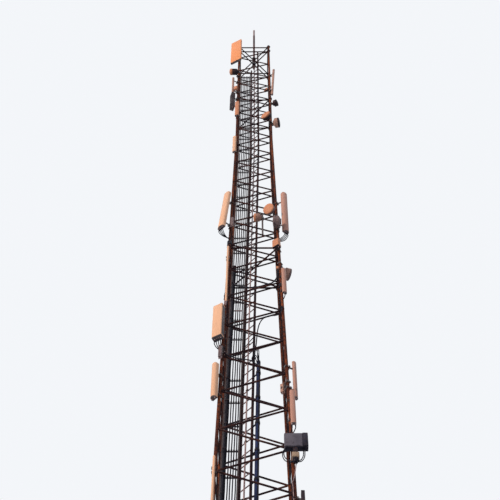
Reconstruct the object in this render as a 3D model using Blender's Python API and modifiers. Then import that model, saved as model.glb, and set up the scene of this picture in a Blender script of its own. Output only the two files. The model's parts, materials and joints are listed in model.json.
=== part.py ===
"""Square lattice mast that carries cell antennas, in metres, +Z up, ground at zero."""
import math

import bmesh
import bpy
from mathutils import Matrix, Vector

# Clearances
GAP = 0.0003
HOLE_GAP = 0.0008
MERGE = 0.00002
OVERRUN = 0.02

# Mast outline: parallel above the knee, spreading evenly below it
HALF_TOP = 0.470
KNEE = 29.55
SPREAD_SHARE = 0.01321
MAST_TOP = 36.80

# Legs
LEG_R = 0.030
LEG_SIDES = 8
FOOT_R = 0.085
FOOT_H = 0.026
FLANGE_R = 0.052
FLANGE_H = 0.030

# Zigzag lacing, one closed band on each face
PITCH = 1.10
FIRST_NODE = 0.533
LACING_TOP = 36.32
GUSSET = 0.018
CROTCH = 0.022
LACING_T = 0.026

# Base frame
BASE_H = 0.080
BASE_W = 0.110
PAD_HALF = 0.120
PAD_H = 0.100
HUB_R = 0.170
HUB_H = 0.092

# Tie rings and top frames
RING_BAYS = 8
FIRST_RING_BAY = 5
RING_COUNT = 4
RING_DROP = 0.103
RING_H = 0.032
RING_BAR_W = 0.030
COLLAR_R = 0.052
TOP_FRAME_LOWER = 36.38
TOP_FRAME_UPPER = 36.76
TOP_DISC_R = 0.055

# Lightning mast
ROD_R = 0.034
ROD_BOTTOM = 36.02
ROD_TOP = 39.17
ROD_FLANGE_R = 0.052
ROD_FLANGE_H = 0.020
TIP_R = 0.030
TIP_TOP = 39.78
TIP_POINT_H = 0.060
ROD_SIDES = 12

# Climbing ladder, in the plane of the plan diagonals
LADDER_W = 0.283
LADDER_SHIFT = 0.070
STILE_W = 0.025
STILE_D = 0.050
RUNG = 0.024
RUNG_STEP = 0.300
LADDER_BOTTOM = 0.30
LADDER_TOP = 35.90
RIGHT_STILE_TOP = 37.00
RAIL_W = 0.030
RAIL_D = 0.014

# Cable ladder and feeder cables
TRAY_W = 0.326
TRAY_RAIL = 0.026
TRAY_BAR = 0.022
TRAY_STEP = 0.690
TRAY_BACK = 0.030
TRAY_BOTTOM = 0.45
TRAY_TOP = 35.60
FEEDER_R = 0.012
FEEDER_STEP = 0.046
FEEDER_COUNT = 6
FEEDER_BOTTOM = 0.34
FEEDER_TOP = 35.20
HANGER_BAYS = 10
HANGER_H = 0.040
HANGER_T = 0.012

# Cable bundle beside the ladder
BUNDLE_R = 0.036
BUNDLE_TOP = 19.70
BUNDLE_SIDE = 0.149
BUNDLE_CLAMP_STEP = 0.750
BUNDLE_CLAMP_W = 0.014
BUNDLE_CLAMP_H = 0.045


def spread(z):
    """How far a leg stands out past its place above the knee."""
    return max(0.0, KNEE - z) * SPREAD_SHARE


def half(z):
    """Half the distance between two legs at a height."""
    return HALF_TOP + spread(z)


# Scene set-up
for old in list(bpy.data.objects):
    bpy.data.objects.remove(old)

PARTS = bpy.data.collections.new("cell_tower")
bpy.context.scene.collection.children.link(PARTS)
WORK = bpy.data.collections.new("cell_tower_work")
bpy.context.scene.collection.children.link(WORK)

PAINTS = {
    "rusty_steel": ((0.30, 0.16, 0.09), 0.75, 0.55),
    "galvanised_steel": ((0.42, 0.38, 0.36), 0.55, 0.70),
    "dark_steel": ((0.07, 0.05, 0.05), 0.60, 0.50),
    "antenna_white": ((0.80, 0.64, 0.52), 0.50, 0.00),
    "unit_grey": ((0.40, 0.37, 0.40), 0.55, 0.10),
    "cabinet_grey": ((0.22, 0.20, 0.26), 0.55, 0.10),
    "cable_black": ((0.015, 0.015, 0.02), 0.55, 0.00),
    "bundle_blue": ((0.03, 0.04, 0.09), 0.55, 0.00),
}


def paint(name):
    """Principled material of one finish, made once."""
    found = bpy.data.materials.get(name)
    if found:
        return found
    colour, roughness, metallic = PAINTS[name]
    made = bpy.data.materials.new(name)
    made.use_nodes = True
    shader = made.node_tree.nodes["Principled BSDF"]
    shader.inputs["Base Color"].default_value = (*colour, 1.0)
    shader.inputs["Roughness"].default_value = roughness
    shader.inputs["Metallic"].default_value = metallic
    return made


def put(name, data, matrix=None, collection=WORK):
    """Link new object data to the scene."""
    made = bpy.data.objects.new(name, data)
    collection.objects.link(made)
    if matrix is not None:
        made.matrix_world = matrix
    return made


def as_mesh(source, triangles=False):
    """Replace an object by the welded mesh of what it evaluates to, in world space."""
    bpy.context.view_layer.update()
    evaluated = source.evaluated_get(bpy.context.evaluated_depsgraph_get())
    data = bpy.data.meshes.new_from_object(evaluated)
    data.transform(source.matrix_world)
    edit = bmesh.new()
    edit.from_mesh(data)
    bmesh.ops.remove_doubles(edit, verts=edit.verts, dist=MERGE)
    if triangles:
        bmesh.ops.triangulate(edit, faces=edit.faces)
    bmesh.ops.recalc_face_normals(edit, faces=edit.faces)
    edit.to_mesh(data)
    edit.free()
    name = source.name
    bpy.data.objects.remove(source)
    return put(name, data)


def from_edit(edit, matrix=None):
    """Object from a bmesh."""
    data = bpy.data.meshes.new("piece")
    if matrix is not None:
        bmesh.ops.transform(edit, matrix=matrix, verts=edit.verts)
    edit.to_mesh(data)
    edit.free()
    return put("piece", data)


def box(size, centre, turn=0.0):
    """Block of a size about a centre, turned about Z."""
    edit = bmesh.new()
    bmesh.ops.create_cube(edit, size=1.0)
    place = Matrix.Translation(centre) @ Matrix.Rotation(turn, 4, "Z") @ Matrix.Diagonal((*size, 1.0))
    return from_edit(edit, place)


def beam(start, end, width, height):
    """Block that runs from one point to another, its height near upright."""
    start = Vector(start)
    end = Vector(end)
    run = end - start
    edit = bmesh.new()
    bmesh.ops.create_cube(edit, size=1.0)
    place = (Matrix.Translation((start + end) / 2.0) @ run.to_track_quat("X", "Z").to_matrix().to_4x4()
             @ Matrix.Diagonal((run.length, width, height, 1.0)))
    return from_edit(edit, place)


def rod(start, end, radius, sides, end_radius=None):
    """Round bar or cone between two points, with a corner of its section toward +X."""
    start = Vector(start)
    end = Vector(end)
    run = end - start
    edit = bmesh.new()
    bmesh.ops.create_cone(edit, cap_ends=True, segments=sides, radius1=radius,
                          radius2=radius if end_radius is None else end_radius, depth=run.length)
    turn = run.to_track_quat("Z", "X").to_matrix().to_4x4()
    if run.x == 0.0 and run.y == 0.0:
        turn = Matrix.Rotation(math.pi / 2.0, 4, "Z")
    return from_edit(edit, Matrix.Translation((start + end) / 2.0) @ turn)


def outline(loops, thickness, matrix=None, triangles=False):
    """Flat filled outline with holes, extruded about its plane to a thickness."""
    data = bpy.data.curves.new("outline", "CURVE")
    data.dimensions = "2D"
    data.fill_mode = "BOTH"
    data.extrude = thickness / 2.0
    for loop in loops:
        spline = data.splines.new("POLY")
        spline.points.add(len(loop) - 1)
        for point, (x, y) in zip(spline.points, loop):
            point.co = (x, y, 0.0, 1.0)
        spline.use_cyclic_u = True
    return as_mesh(put("outline", data, matrix), triangles)


def turned(profile, sides, matrix=None):
    """Profile of (radius, height) pairs from top to bottom, turned about Z."""
    edit = bmesh.new()
    points = [edit.verts.new((radius, 0.0, height)) for radius, height in profile]
    for first, second in zip(points, points[1:]):
        edit.edges.new((first, second))
    made = from_edit(edit)
    screw = made.modifiers.new("Turn", "SCREW")
    screw.steps = sides
    screw.render_steps = sides
    screw.use_merge_vertices = True
    screw.merge_threshold = MERGE
    if matrix is not None:
        made.matrix_world = matrix
    return as_mesh(made)


def combine(pieces, operation="UNION"):
    """Boolean of the first piece with each of the others, which are used up."""
    first = pieces[0]
    for tool in pieces[1:]:
        step = first.modifiers.new("Join", "BOOLEAN")
        step.operation = operation
        step.object = tool
    made = as_mesh(first)
    for tool in pieces[1:]:
        bpy.data.objects.remove(tool)
    return made


def combine_many(first, tools):
    """Union of a piece with many that don't touch each other."""
    group = bpy.data.collections.new("group")
    WORK.children.link(group)
    for tool in tools:
        group.objects.link(tool)
    step = first.modifiers.new("Join", "BOOLEAN")
    step.operation = "UNION"
    step.operand_type = "COLLECTION"
    step.collection = group
    made = as_mesh(first)
    for tool in tools:
        bpy.data.objects.remove(tool)
    bpy.data.collections.remove(group)
    return made


def lean(made, way):
    """Cut a piece at the knee and lean what lies below it; way gives the two signs."""
    edit = bmesh.new()
    edit.from_mesh(made.data)
    bmesh.ops.bisect_plane(edit, geom=edit.verts[:] + edit.edges[:] + edit.faces[:], dist=MERGE,
                           plane_co=(0.0, 0.0, KNEE), plane_no=(0.0, 0.0, 1.0))
    for vert in edit.verts:
        side_x, side_y = way(vert.co)
        vert.co.x += side_x * spread(vert.co.z)
        vert.co.y += side_y * spread(vert.co.z)
    edit.to_mesh(made.data)
    edit.free()
    return made


def keep(name, finish, made, smooth=True):
    """Name a finished piece, give it its finish and file it under the tower."""
    made.name = name
    made.data.name = name
    made.data.materials.clear()
    made.data.materials.append(paint(finish))
    WORK.objects.unlink(made)
    PARTS.objects.link(made)
    if smooth:
        made.data.shade_smooth()
        made.data.set_sharp_from_angle(angle=math.radians(40.0))
    return made


def octagon(centre, radius, bottom, top):
    """Upright bar whose flats match the legs'."""
    return rod((*centre, bottom), (*centre, top), radius, LEG_SIDES)


def ring_heights():
    """Middle of each tie ring, a little under a node of the lacing."""
    return [FIRST_NODE + (FIRST_RING_BAY + RING_BAYS * i) * PITCH - RING_DROP for i in range(RING_COUNT)]


LEGS = {
    "front_left": (-1, -1),
    "front_right": (1, -1),
    "back_left": (-1, 1),
    "back_right": (1, 1),
}


# Base frame: a square with a cross, pads under the legs and a hub on the middle
def square(side):
    return [(-side, -side), (side, -side), (side, side), (-side, side)]


foot = half(0.0)
inner = foot - BASE_W / 2.0
slack = BASE_W * math.sqrt(0.5)
window = [(-inner + slack, -inner), (inner - slack, -inner), (0.0, -slack)]
windows = [[tuple(Matrix.Rotation(math.radians(90.0 * i), 2) @ Vector(p)) for p in window] for i in range(4)]
frame = outline([square(foot + BASE_W / 2.0)] + windows, BASE_H,
                Matrix.Translation((0.0, 0.0, BASE_H / 2.0)))
pads = []
for way in LEGS.values():
    side = 2.0 * PAD_HALF
    pads.append(box((side, side, PAD_H - BASE_H / 2.0),
                    (way[0] * foot, way[1] * foot, (PAD_H + BASE_H / 2.0) / 2.0)))
hub = rod((0.0, 0.0, BASE_H / 2.0), (0.0, 0.0, HUB_H), HUB_R, LEG_SIDES)
keep("base_frame", "dark_steel", combine([frame, hub] + pads))


# Legs, with a foot plate and a flange pair above each tie ring
def leg_profile():
    points = [(0.0, MAST_TOP), (LEG_R, MAST_TOP)]
    for height in reversed(ring_heights()):
        bottom = height + RING_H / 2.0 + GAP
        points += [(LEG_R, bottom + FLANGE_H), (FLANGE_R, bottom + FLANGE_H)]
        points += [(FLANGE_R, bottom), (LEG_R, bottom)]
    bottom = PAD_H + GAP
    points += [(LEG_R, bottom + FOOT_H), (FOOT_R, bottom + FOOT_H), (FOOT_R, bottom), (0.0, bottom)]
    return points


for name, way in LEGS.items():
    leg = turned(leg_profile(), LEG_SIDES, Matrix.Translation((way[0] * HALF_TOP, way[1] * HALF_TOP, 0.0)))
    keep("leg_" + name, "rusty_steel", lean(leg, lambda co, way=way: way))


# Zigzag lacing: one band that turns at a gusset on each leg in turn
def lacing_loop():
    reach = HALF_TOP - LEG_R - GAP
    count = int((LACING_TOP - FIRST_NODE) / (PITCH / 2.0)) + 1
    rising = []
    falling = []
    for i in range(count):
        z = FIRST_NODE + i * PITCH / 2.0
        side = -1.0 if i % 2 == 0 else 1.0
        outer = [(side * reach, z - GUSSET), (side * reach, z + GUSSET)]
        crotch = [(side * (reach - CROTCH), z)]
        rising += outer if side < 0.0 else crotch
        falling += crotch if side < 0.0 else outer
    return rising + falling[::-1]


FACES = {
    "front": 0.0,
    "right": 90.0,
    "back": 180.0,
    "left": -90.0,
}
for name, turn in FACES.items():
    # The band is drawn in the front face with its first gusset at the left leg, then turned;
    # on the left and right faces it is mirrored so that neighbours share their nodes.
    loop = lacing_loop()
    if name in ("right", "left"):
        loop = [(-u, height) for u, height in loop]
    place = (Matrix.Rotation(math.radians(turn), 4, "Z") @ Matrix.Translation((0.0, -HALF_TOP, 0.0))
             @ Matrix.Rotation(math.radians(90.0), 4, "X"))
    band = outline([loop], LACING_T, place, triangles=True)
    band = lean(band, lambda co: (math.copysign(1.0, co.x), math.copysign(1.0, co.y)))
    keep("bracing_" + name, "rusty_steel", band, smooth=False)


# Tie rings and top frames: collars round the legs, bars just inside the lacing, plan bracing
def ring(height, both_ways):
    side = half(height)
    low = height - RING_H / 2.0
    high = height + RING_H / 2.0
    inset = LACING_T / 2.0 + GAP + RING_BAR_W / 2.0
    bar_h = RING_H - RING_H / 8.0
    span = 2.0 * side
    parts = []
    for sign in (-1.0, 1.0):
        parts.append(box((span, RING_BAR_W, bar_h), (0.0, sign * (side - inset), height)))
        parts.append(box((RING_BAR_W, span, bar_h), (sign * (side - inset), 0.0, height)))
    thin = bar_h - RING_H / 8.0
    parts.append(beam((side, -side, height), (-side, side, height), RING_BAR_W, thin))
    if both_ways:
        parts.append(beam((side, side, height), (-side, -side, height), RING_BAR_W, thin))
        parts.append(rod((0.0, 0.0, low), (0.0, 0.0, high), TOP_DISC_R, ROD_SIDES))
    for way in LEGS.values():
        parts.append(octagon((way[0] * side, way[1] * side), COLLAR_R, low, high))
    made = combine(parts)
    holes = [made]
    for way in LEGS.values():
        holes.append(octagon((way[0] * side, way[1] * side), LEG_R + HOLE_GAP,
                             low - OVERRUN, high + OVERRUN))
    if both_ways:
        holes.append(rod((0.0, 0.0, low - OVERRUN), (0.0, 0.0, high + OVERRUN), ROD_R + GAP, ROD_SIDES))
    return combine(holes, "DIFFERENCE")


for i, height in enumerate(ring_heights()):
    keep("tie_ring_%d" % (i + 1), "rusty_steel", ring(height, False))
keep("top_frame_lower", "rusty_steel", ring(TOP_FRAME_LOWER, True))
keep("top_frame_upper", "rusty_steel", ring(TOP_FRAME_UPPER, True))

# Lightning mast, carried by a flange on the upper frame, and its paler tip
rest = TOP_FRAME_UPPER + RING_H / 2.0 + GAP
mast = turned([(0.0, ROD_TOP), (ROD_R, ROD_TOP), (ROD_R, rest + ROD_FLANGE_H),
               (ROD_FLANGE_R, rest + ROD_FLANGE_H), (ROD_FLANGE_R, rest), (ROD_R, rest),
               (ROD_R, ROD_BOTTOM), (0.0, ROD_BOTTOM)], ROD_SIDES)
keep("lightning_mast", "dark_steel", mast)
tip = turned([(0.0, TIP_TOP), (TIP_R / 3.0, TIP_TOP), (TIP_R, TIP_TOP - TIP_POINT_H), (TIP_R, ROD_TOP + GAP),
              (0.0, ROD_TOP + GAP)], ROD_SIDES)
keep("lightning_tip", "antenna_white", tip)

# Climbing ladder in the plane of the plan diagonals, on the side of the front left leg
ALONG = Vector((math.sqrt(0.5), -math.sqrt(0.5), 0.0))
TOWARD = Vector((-math.sqrt(0.5), -math.sqrt(0.5), 0.0))
LADDER_TURN = math.radians(-45.0)
LADDER_OFF = RING_BAR_W / 2.0 + GAP + STILE_D / 2.0


def ladder_way(co):
    """The ladder and the cable runs lean with the back left leg."""
    return (-1.0, 1.0)


def on_ladder(along, toward, z):
    return ALONG * (LADDER_SHIFT + along) + TOWARD * (LADDER_OFF + toward) + Vector((0.0, 0.0, z))


middle = (LADDER_BOTTOM + LADDER_TOP) / 2.0
length = LADDER_TOP - LADDER_BOTTOM
stiles = []
for side, top in ((-1.0, LADDER_TOP), (1.0, RIGHT_STILE_TOP)):
    centre = on_ladder(side * LADDER_W / 2.0, 0.0, (LADDER_BOTTOM + top) / 2.0)
    stiles.append(box((STILE_W, STILE_D, top - LADDER_BOTTOM), centre, LADDER_TURN))
rungs = []
for i in range(int((length - RUNG) / RUNG_STEP)):
    z = LADDER_BOTTOM + (i + 0.5) * RUNG_STEP
    rungs.append(box((LADDER_W, RUNG, RUNG), on_ladder(0.0, 0.0, z), LADDER_TURN))
ladder = combine([combine_many(stiles[0], rungs), stiles[1]])
keep("ladder", "rusty_steel", lean(ladder, ladder_way), smooth=False)

rail = box((RAIL_W, RAIL_D, length), on_ladder(0.0, RUNG / 2.0 + GAP + RAIL_D / 2.0, middle), LADDER_TURN)
keep("safety_rail", "galvanised_steel", lean(rail, ladder_way), smooth=False)

# Cable ladder against the left bars of the tie rings
tray_left = -HALF_TOP + LACING_T / 2.0 + GAP + RING_BAR_W + GAP
tray_x = tray_left + TRAY_W / 2.0
tray_z = (TRAY_BOTTOM + TRAY_TOP) / 2.0
tray_h = TRAY_TOP - TRAY_BOTTOM
rails = [box((TRAY_RAIL, TRAY_RAIL, tray_h),
             (tray_x + side * (TRAY_W - TRAY_RAIL) / 2.0, -TRAY_BACK, tray_z)) for side in (-1.0, 1.0)]
bars = []
for i in range(int(tray_h / TRAY_STEP)):
    z = TRAY_BOTTOM + (i + 0.5) * TRAY_STEP
    bars.append(box((TRAY_W - TRAY_RAIL, TRAY_BAR, TRAY_BAR), (tray_x, -TRAY_BACK, z)))
tray = combine([combine_many(rails[0], bars), rails[1]])
keep("cable_ladder", "dark_steel", lean(tray, ladder_way), smooth=False)


# Feeder cables, apart from each other on the front of the cable ladder's bars, with flat
# hangers across them half way between two bars
def feeder_cables():
    y = -TRAY_BACK - TRAY_BAR / 2.0 - GAP - FEEDER_R
    left = tray_x - (FEEDER_COUNT - 1) * FEEDER_STEP / 2.0
    width = (FEEDER_COUNT - 1) * FEEDER_STEP + FEEDER_R
    hangers = []
    z = TRAY_BOTTOM + TRAY_STEP
    while z + HANGER_H < FEEDER_TOP:
        hangers.append(box((width, HANGER_T, HANGER_H), (tray_x, y, z)))
        z += HANGER_BAYS * TRAY_STEP
    made = hangers[0]
    cables = []
    for i in range(FEEDER_COUNT):
        x = left + i * FEEDER_STEP
        cables.append(rod((x, y, FEEDER_BOTTOM), (x, y, FEEDER_TOP), FEEDER_R, LEG_SIDES))
    return combine_many(combine_many(made, cables), hangers[1:])


keep("feeder_cables", "cable_black", lean(feeder_cables(), ladder_way))

# Cable bundle beside the ladder's right stile, held by clamps round the stile's edge
bundle_along = LADDER_W / 2.0 + BUNDLE_SIDE
bundle_toward = BUNDLE_R - STILE_D / 2.0
bundle = rod(on_ladder(bundle_along, bundle_toward, FEEDER_BOTTOM),
             on_ladder(bundle_along, bundle_toward, BUNDLE_TOP), BUNDLE_R, LEG_SIDES)
clamps = []
reach = bundle_along - LADDER_W / 2.0 - STILE_W / 2.0 - GAP
for i in range(int((BUNDLE_TOP - LADDER_BOTTOM) / BUNDLE_CLAMP_STEP)):
    z = BUNDLE_TOP - (i + 0.5) * BUNDLE_CLAMP_STEP
    clamps.append(box((reach, BUNDLE_CLAMP_W, BUNDLE_CLAMP_H),
                      on_ladder(bundle_along - reach / 2.0, bundle_toward, z), LADDER_TURN))
keep("cable_bundle", "bundle_blue", lean(combine_many(bundle, clamps), ladder_way))


# Equipment: sizes of each kind
REACH = 0.200
SECTOR_W = 0.190
SECTOR_D = 0.100
SECTOR_H = 1.900
FLAT_W = 0.360
FLAT_D = 0.070
FLAT_H = 1.800
SLIM_W = 0.095
SLIM_D = 0.060
SLIM_H = 1.000
UNIT_W = 0.150
UNIT_D = 0.110
UNIT_H = 0.500
UNIT_FIN_D = 0.030
UNIT_FINS = 5
BOX_W = 0.070
BOX_D = 0.060
BOX_H = 0.250
BROAD_W = 0.215
BROAD_D = 0.130
BROAD_H = 1.120
DRUM_R = 0.140
DRUM_L = 0.190
DRUM_DOME_SHARE = 0.12
DRUM_SIDES = 14
OMNI_R = 0.023
OMNI_H = 2.370
CABINET_W = 0.400
CABINET_D = 0.130
CABINET_H = 0.340
GLAND_R = 0.058
GLAND_H = 0.250
GLAND_CAP_R = 0.066
GLAND_CAP_H = 0.070
EDGE_CUT = 0.012
CORNER_CUT = 0.018
POST_R = 0.020
POST_RISE = 0.190
POST_FALL = 0.750
POST_PLACE_SHARE = 0.75

# Equipment: arms and the seats that clamp to a leg
ARM_W = 0.030
ARM_H = 0.036
SEAT_W = 0.072
SEAT_T = 0.016
SEAT_H = 0.050
KEEP_OFF = 0.010
ARM_SPREAD_SHARE = 0.30
TWO_ARMS_OVER = 0.60


def cut_rims(made):
    """Bevel the rims of an upright housing's two ends."""
    edit = bmesh.new()
    edit.from_mesh(made.data)
    bmesh.ops.dissolve_limit(edit, angle_limit=math.radians(1.0), verts=edit.verts, edges=edit.edges)
    rims = [edge for edge in edit.edges if abs(edge.verts[0].co.z - edge.verts[1].co.z) < MERGE]
    bmesh.ops.bevel(edit, geom=rims, offset=EDGE_CUT, segments=1, profile=0.5, affect="EDGES")
    edit.to_mesh(made.data)
    edit.free()
    return made


def bowed_body(depth, width, height):
    """Upright radome: flat back and bowed front."""
    loop = [(-depth / 2.0, -width / 2.0)]
    for i in range(7):
        angle = math.radians(-90.0 + 30.0 * i)
        loop.append((math.cos(angle) * depth / 2.0, math.sin(angle) * width / 2.0))
    loop.append((-depth / 2.0, width / 2.0))
    return outline([loop], height)


def case_body(depth, width, height):
    """Upright flat housing, its two front corners and its end rims cut back."""
    front = depth / 2.0
    side = width / 2.0
    loop = [(-front, -side), (front - CORNER_CUT, -side), (front, CORNER_CUT - side),
            (front, side - CORNER_CUT), (front - CORNER_CUT, side), (-front, side)]
    return cut_rims(outline([loop], height))


def unit_body(depth, width, height):
    """Radio unit: a case with upright cooling fins on its front."""
    case = depth / 2.0 - UNIT_FIN_D
    pitch = width / (2 * UNIT_FINS - 1)
    loop = [(-depth / 2.0, width / 2.0), (-depth / 2.0, -width / 2.0)]
    for i in range(UNIT_FINS):
        y = -width / 2.0 + 2.0 * i * pitch
        loop += [(depth / 2.0, y), (depth / 2.0, y + pitch)]
        if i < UNIT_FINS - 1:
            loop += [(case, y + pitch), (case, y + 2.0 * pitch)]
    return outline([loop], height)


def box_body(depth, width, height):
    return box((depth, width, height), (0.0, 0.0, 0.0))


def drum_body(length, radius):
    """Shrouded dish: domed cover in front, drum, tapered back."""
    dome = length * DRUM_DOME_SHARE
    front = length / 2.0 - dome
    profile = [(0.0, front + dome), (radius * 0.6, front + dome * 0.75), (radius, front),
               (radius, -length / 5.0), (radius * 0.5, -length / 2.0), (0.0, -length / 2.0)]
    return turned(profile, DRUM_SIDES, Matrix.Rotation(math.radians(90.0), 4, "Y"))


def omni_body(height):
    return rod((0.0, 0.0, -height / 2.0), (0.0, 0.0, height / 2.0), OMNI_R, LEG_SIDES)


# Each kind's finish, full length and body of a length share and a width share
KINDS = {
    "sector": ("antenna_white", SECTOR_H,
               lambda size, wide: cut_rims(bowed_body(SECTOR_D, SECTOR_W * wide, SECTOR_H * size))),
    "flat": ("antenna_white", FLAT_H, lambda size, wide: case_body(FLAT_D, FLAT_W * wide, FLAT_H * size)),
    "slim": ("antenna_white", SLIM_H, lambda size, wide: bowed_body(SLIM_D, SLIM_W * wide, SLIM_H * size)),
    "broad": ("antenna_white", BROAD_H,
              lambda size, wide: case_body(BROAD_D, BROAD_W * wide, BROAD_H * size)),
    "case": ("unit_grey", UNIT_H, lambda size, wide: case_body(UNIT_D, UNIT_W * wide, UNIT_H * size)),
    "unit": ("unit_grey", UNIT_H, lambda size, wide: unit_body(UNIT_D, UNIT_W * wide, UNIT_H * size)),
    "box": ("unit_grey", BOX_H, lambda size, wide: box_body(BOX_D, BOX_W * wide, BOX_H * size)),
    "drum": ("antenna_white", 2.0 * DRUM_R, lambda size, wide: drum_body(DRUM_L * size, DRUM_R * wide)),
    "cabinet": ("cabinet_grey", CABINET_H,
                lambda size, wide: case_body(CABINET_D, CABINET_W * wide, CABINET_H * size)),
    "omni": ("antenna_white", OMNI_H, lambda size, wide: omni_body(OMNI_H * size)),
}

# Name, kind, leg, place across and along as shares of REACH from the leg, middle height as a
# share of MAST_TOP, length and width as shares of the kind's, facing from +X and lean in degrees
EQUIPMENT_SHARES = (
    ("flat_panel_top_left", "flat", "front_left", -0.45, -0.45, 0.9798, 1.00, 1.00, 243.0, 0.0),
    ("drum_top_left", "drum", "front_left", -0.62, -0.85, 0.9260, 1.58, 0.71, 180.0, 0.0),
    ("slim_panel_top_left", "slim", "front_left", -0.78, -0.35, 0.9021, 1.26, 0.63, 215.0, 0.0),
    ("radio_unit_upper_left", "unit", "front_left", -0.74, -0.35, 0.8770, 1.00, 1.00, 200.0, 0.0),
    ("radio_unit_lower_left", "unit", "front_left", -0.74, -0.35, 0.8620, 1.00, 1.00, 200.0, 0.0),
    ("junction_box_top_left", "box", "front_left", -0.34, -0.85, 0.8898, 0.90, 1.40, 250.0, 0.0),
    ("small_panel_left", "slim", "front_left", -0.04, -0.65, 0.8507, 0.98, 1.21, 260.0, 0.0),
    ("slim_panel_left", "slim", "front_left", -0.20, -0.62, 0.7852, 0.95, 1.00, 245.0, 0.0),
    ("long_panel_left", "sector", "front_left", -0.84, -0.58, 0.6820, 1.00, 1.00, 226.0, -4.4),
    ("junction_box_left", "box", "front_left", 0.20, -0.75, 0.6641, 1.50, 1.00, 250.0, 0.0),
    ("omni_antenna_left", "omni", "front_left", -0.01, -0.56, 0.6020, 1.00, 1.00, 270.0, 0.0),
    ("broad_panel_left", "broad", "front_left", -0.52, -0.74, 0.5491, 1.00, 1.00, 242.0, 0.0),
    ("junction_box_low_left", "box", "front_left", -0.15, -0.52, 0.5231, 1.50, 1.00, 250.0, 0.0),
    ("lower_panel_left", "sector", "front_left", -0.51, -0.62, 0.4968, 0.54, 0.63, 225.0, 0.0),
    ("bottom_panel_left", "omni", "front_left", 0.00, -0.65, 0.4185, 0.64, 1.00, 262.0, 0.0),
    ("slim_panel_top_right", "slim", "front_right", 0.49, -0.30, 0.9111, 1.86, 0.63, 320.0, 3.0),
    ("junction_box_top_right", "box", "front_right", -0.57, 0.45, 0.9038, 0.60, 1.50, 240.0, 0.0),
    ("drum_upper_right", "drum", "front_right", 0.70, -0.30, 0.8662, 0.79, 0.71, 335.0, 0.0),
    ("drum_middle_front", "drum", "front_right", -0.60, -0.98, 0.8315, 1.00, 1.00, 235.0, 0.0),
    ("drum_middle_right", "drum", "front_right", 0.76, -0.30, 0.8280, 1.00, 1.00, 350.0, 0.0),
    ("long_panel_right", "sector", "front_right", 0.99, -0.36, 0.6812, 1.00, 0.79, 307.0, 0.0),
    ("drum_inner_right", "drum", "front_right", -0.85, -0.95, 0.6788, 0.80, 1.00, 233.0, 20.0),
    ("drum_inner_left", "drum", "front_right", -2.26, -0.63, 0.6714, 1.00, 0.71, 180.0, 0.0),
    ("drum_low_right", "drum", "front_right", -0.10, -1.15, 0.6606, 1.00, 1.00, 180.0, 0.0),
    ("radio_unit_right", "case", "front_right", -0.29, -0.85, 0.6345, 0.62, 1.10, 235.0, 0.0),
    ("slim_panel_right", "slim", "front_right", 0.31, -0.56, 0.5942, 0.96, 1.00, 300.0, 0.0),
    ("drum_side_right", "drum", "front_right", 0.74, 1.30, 0.6190, 1.00, 1.00, 20.0, 0.0),
    ("radio_unit_low_right", "box", "front_right", -0.47, 0.70, 0.5000, 1.00, 1.00, 240.0, 0.0),
    ("side_panel_right", "slim", "front_right", 0.72, 0.30, 0.5043, 1.10, 1.00, 330.0, 0.0),
    ("lower_panel_right", "slim", "front_right", 0.27, -0.58, 0.4759, 0.94, 1.00, 275.0, 0.0),
    ("cabinet_right", "cabinet", "front_right", 0.31, -0.85, 0.4477, 1.00, 1.00, 270.0, 0.0),
    ("junction_box_low_right", "box", "front_right", 0.60, -0.05, 0.4143, 1.20, 1.57, 0.0, 0.0),
)


def clear_height(name, wanted, side):
    """Height on a leg nearest to the wanted one where a seat clears rings and gussets."""
    first = FIRST_NODE if name in ("front_left", "back_right") else FIRST_NODE + PITCH / 2.0
    node = first + round((wanted - first) / PITCH) * PITCH
    keep_off = GUSSET + SEAT_H / 2.0 + CROTCH + KEEP_OFF
    if node < MAST_TOP - PITCH / 2.0 and abs(wanted - node) < keep_off:
        wanted = node + side * keep_off
    for height in ring_heights():
        low = height - RING_H / 2.0 - SEAT_H / 2.0 - KEEP_OFF
        high = height + RING_H / 2.0 + GAP + FLANGE_H + SEAT_H / 2.0 + KEEP_OFF
        if low < wanted < high:
            wanted = low if side < 0.0 else high
    return wanted


def arm(leg, centre, z):
    """Arm from the middle of a piece to a seat against the leg's surface."""
    way = LEGS[leg]
    start = Vector((way[0] * half(z), way[1] * half(z), z))
    end = Vector((centre.x, centre.y, z))
    run = (end - start).normalized()
    corners = [math.radians(360.0 * i / LEG_SIDES) for i in range(LEG_SIDES)]
    surface = LEG_R * max(run.x * math.cos(a) + run.y * math.sin(a) for a in corners) + HOLE_GAP
    turn = math.atan2(run.y, run.x)
    seat = box((SEAT_T, SEAT_W, SEAT_H), start + run * (surface + SEAT_T / 2.0), turn)
    return [seat, beam(start + run * (surface + SEAT_T / 2.0), end, ARM_W, ARM_H)]


def equipment_centre(leg, across, along, level):
    """Point beside a leg, at shares of REACH from its axis."""
    z = level * MAST_TOP
    way = LEGS[leg]
    return Vector((way[0] * half(z) + across * REACH, way[1] * half(z) + along * REACH, z))


def bracket_post(leg, across, along, level):
    """Upright post on a drum's arm."""
    foot = equipment_centre(leg, across * POST_PLACE_SHARE, along * POST_PLACE_SHARE, level)
    return rod(foot - Vector((0.0, 0.0, POST_FALL)), foot + Vector((0.0, 0.0, POST_RISE)), POST_R, LEG_SIDES)


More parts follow.
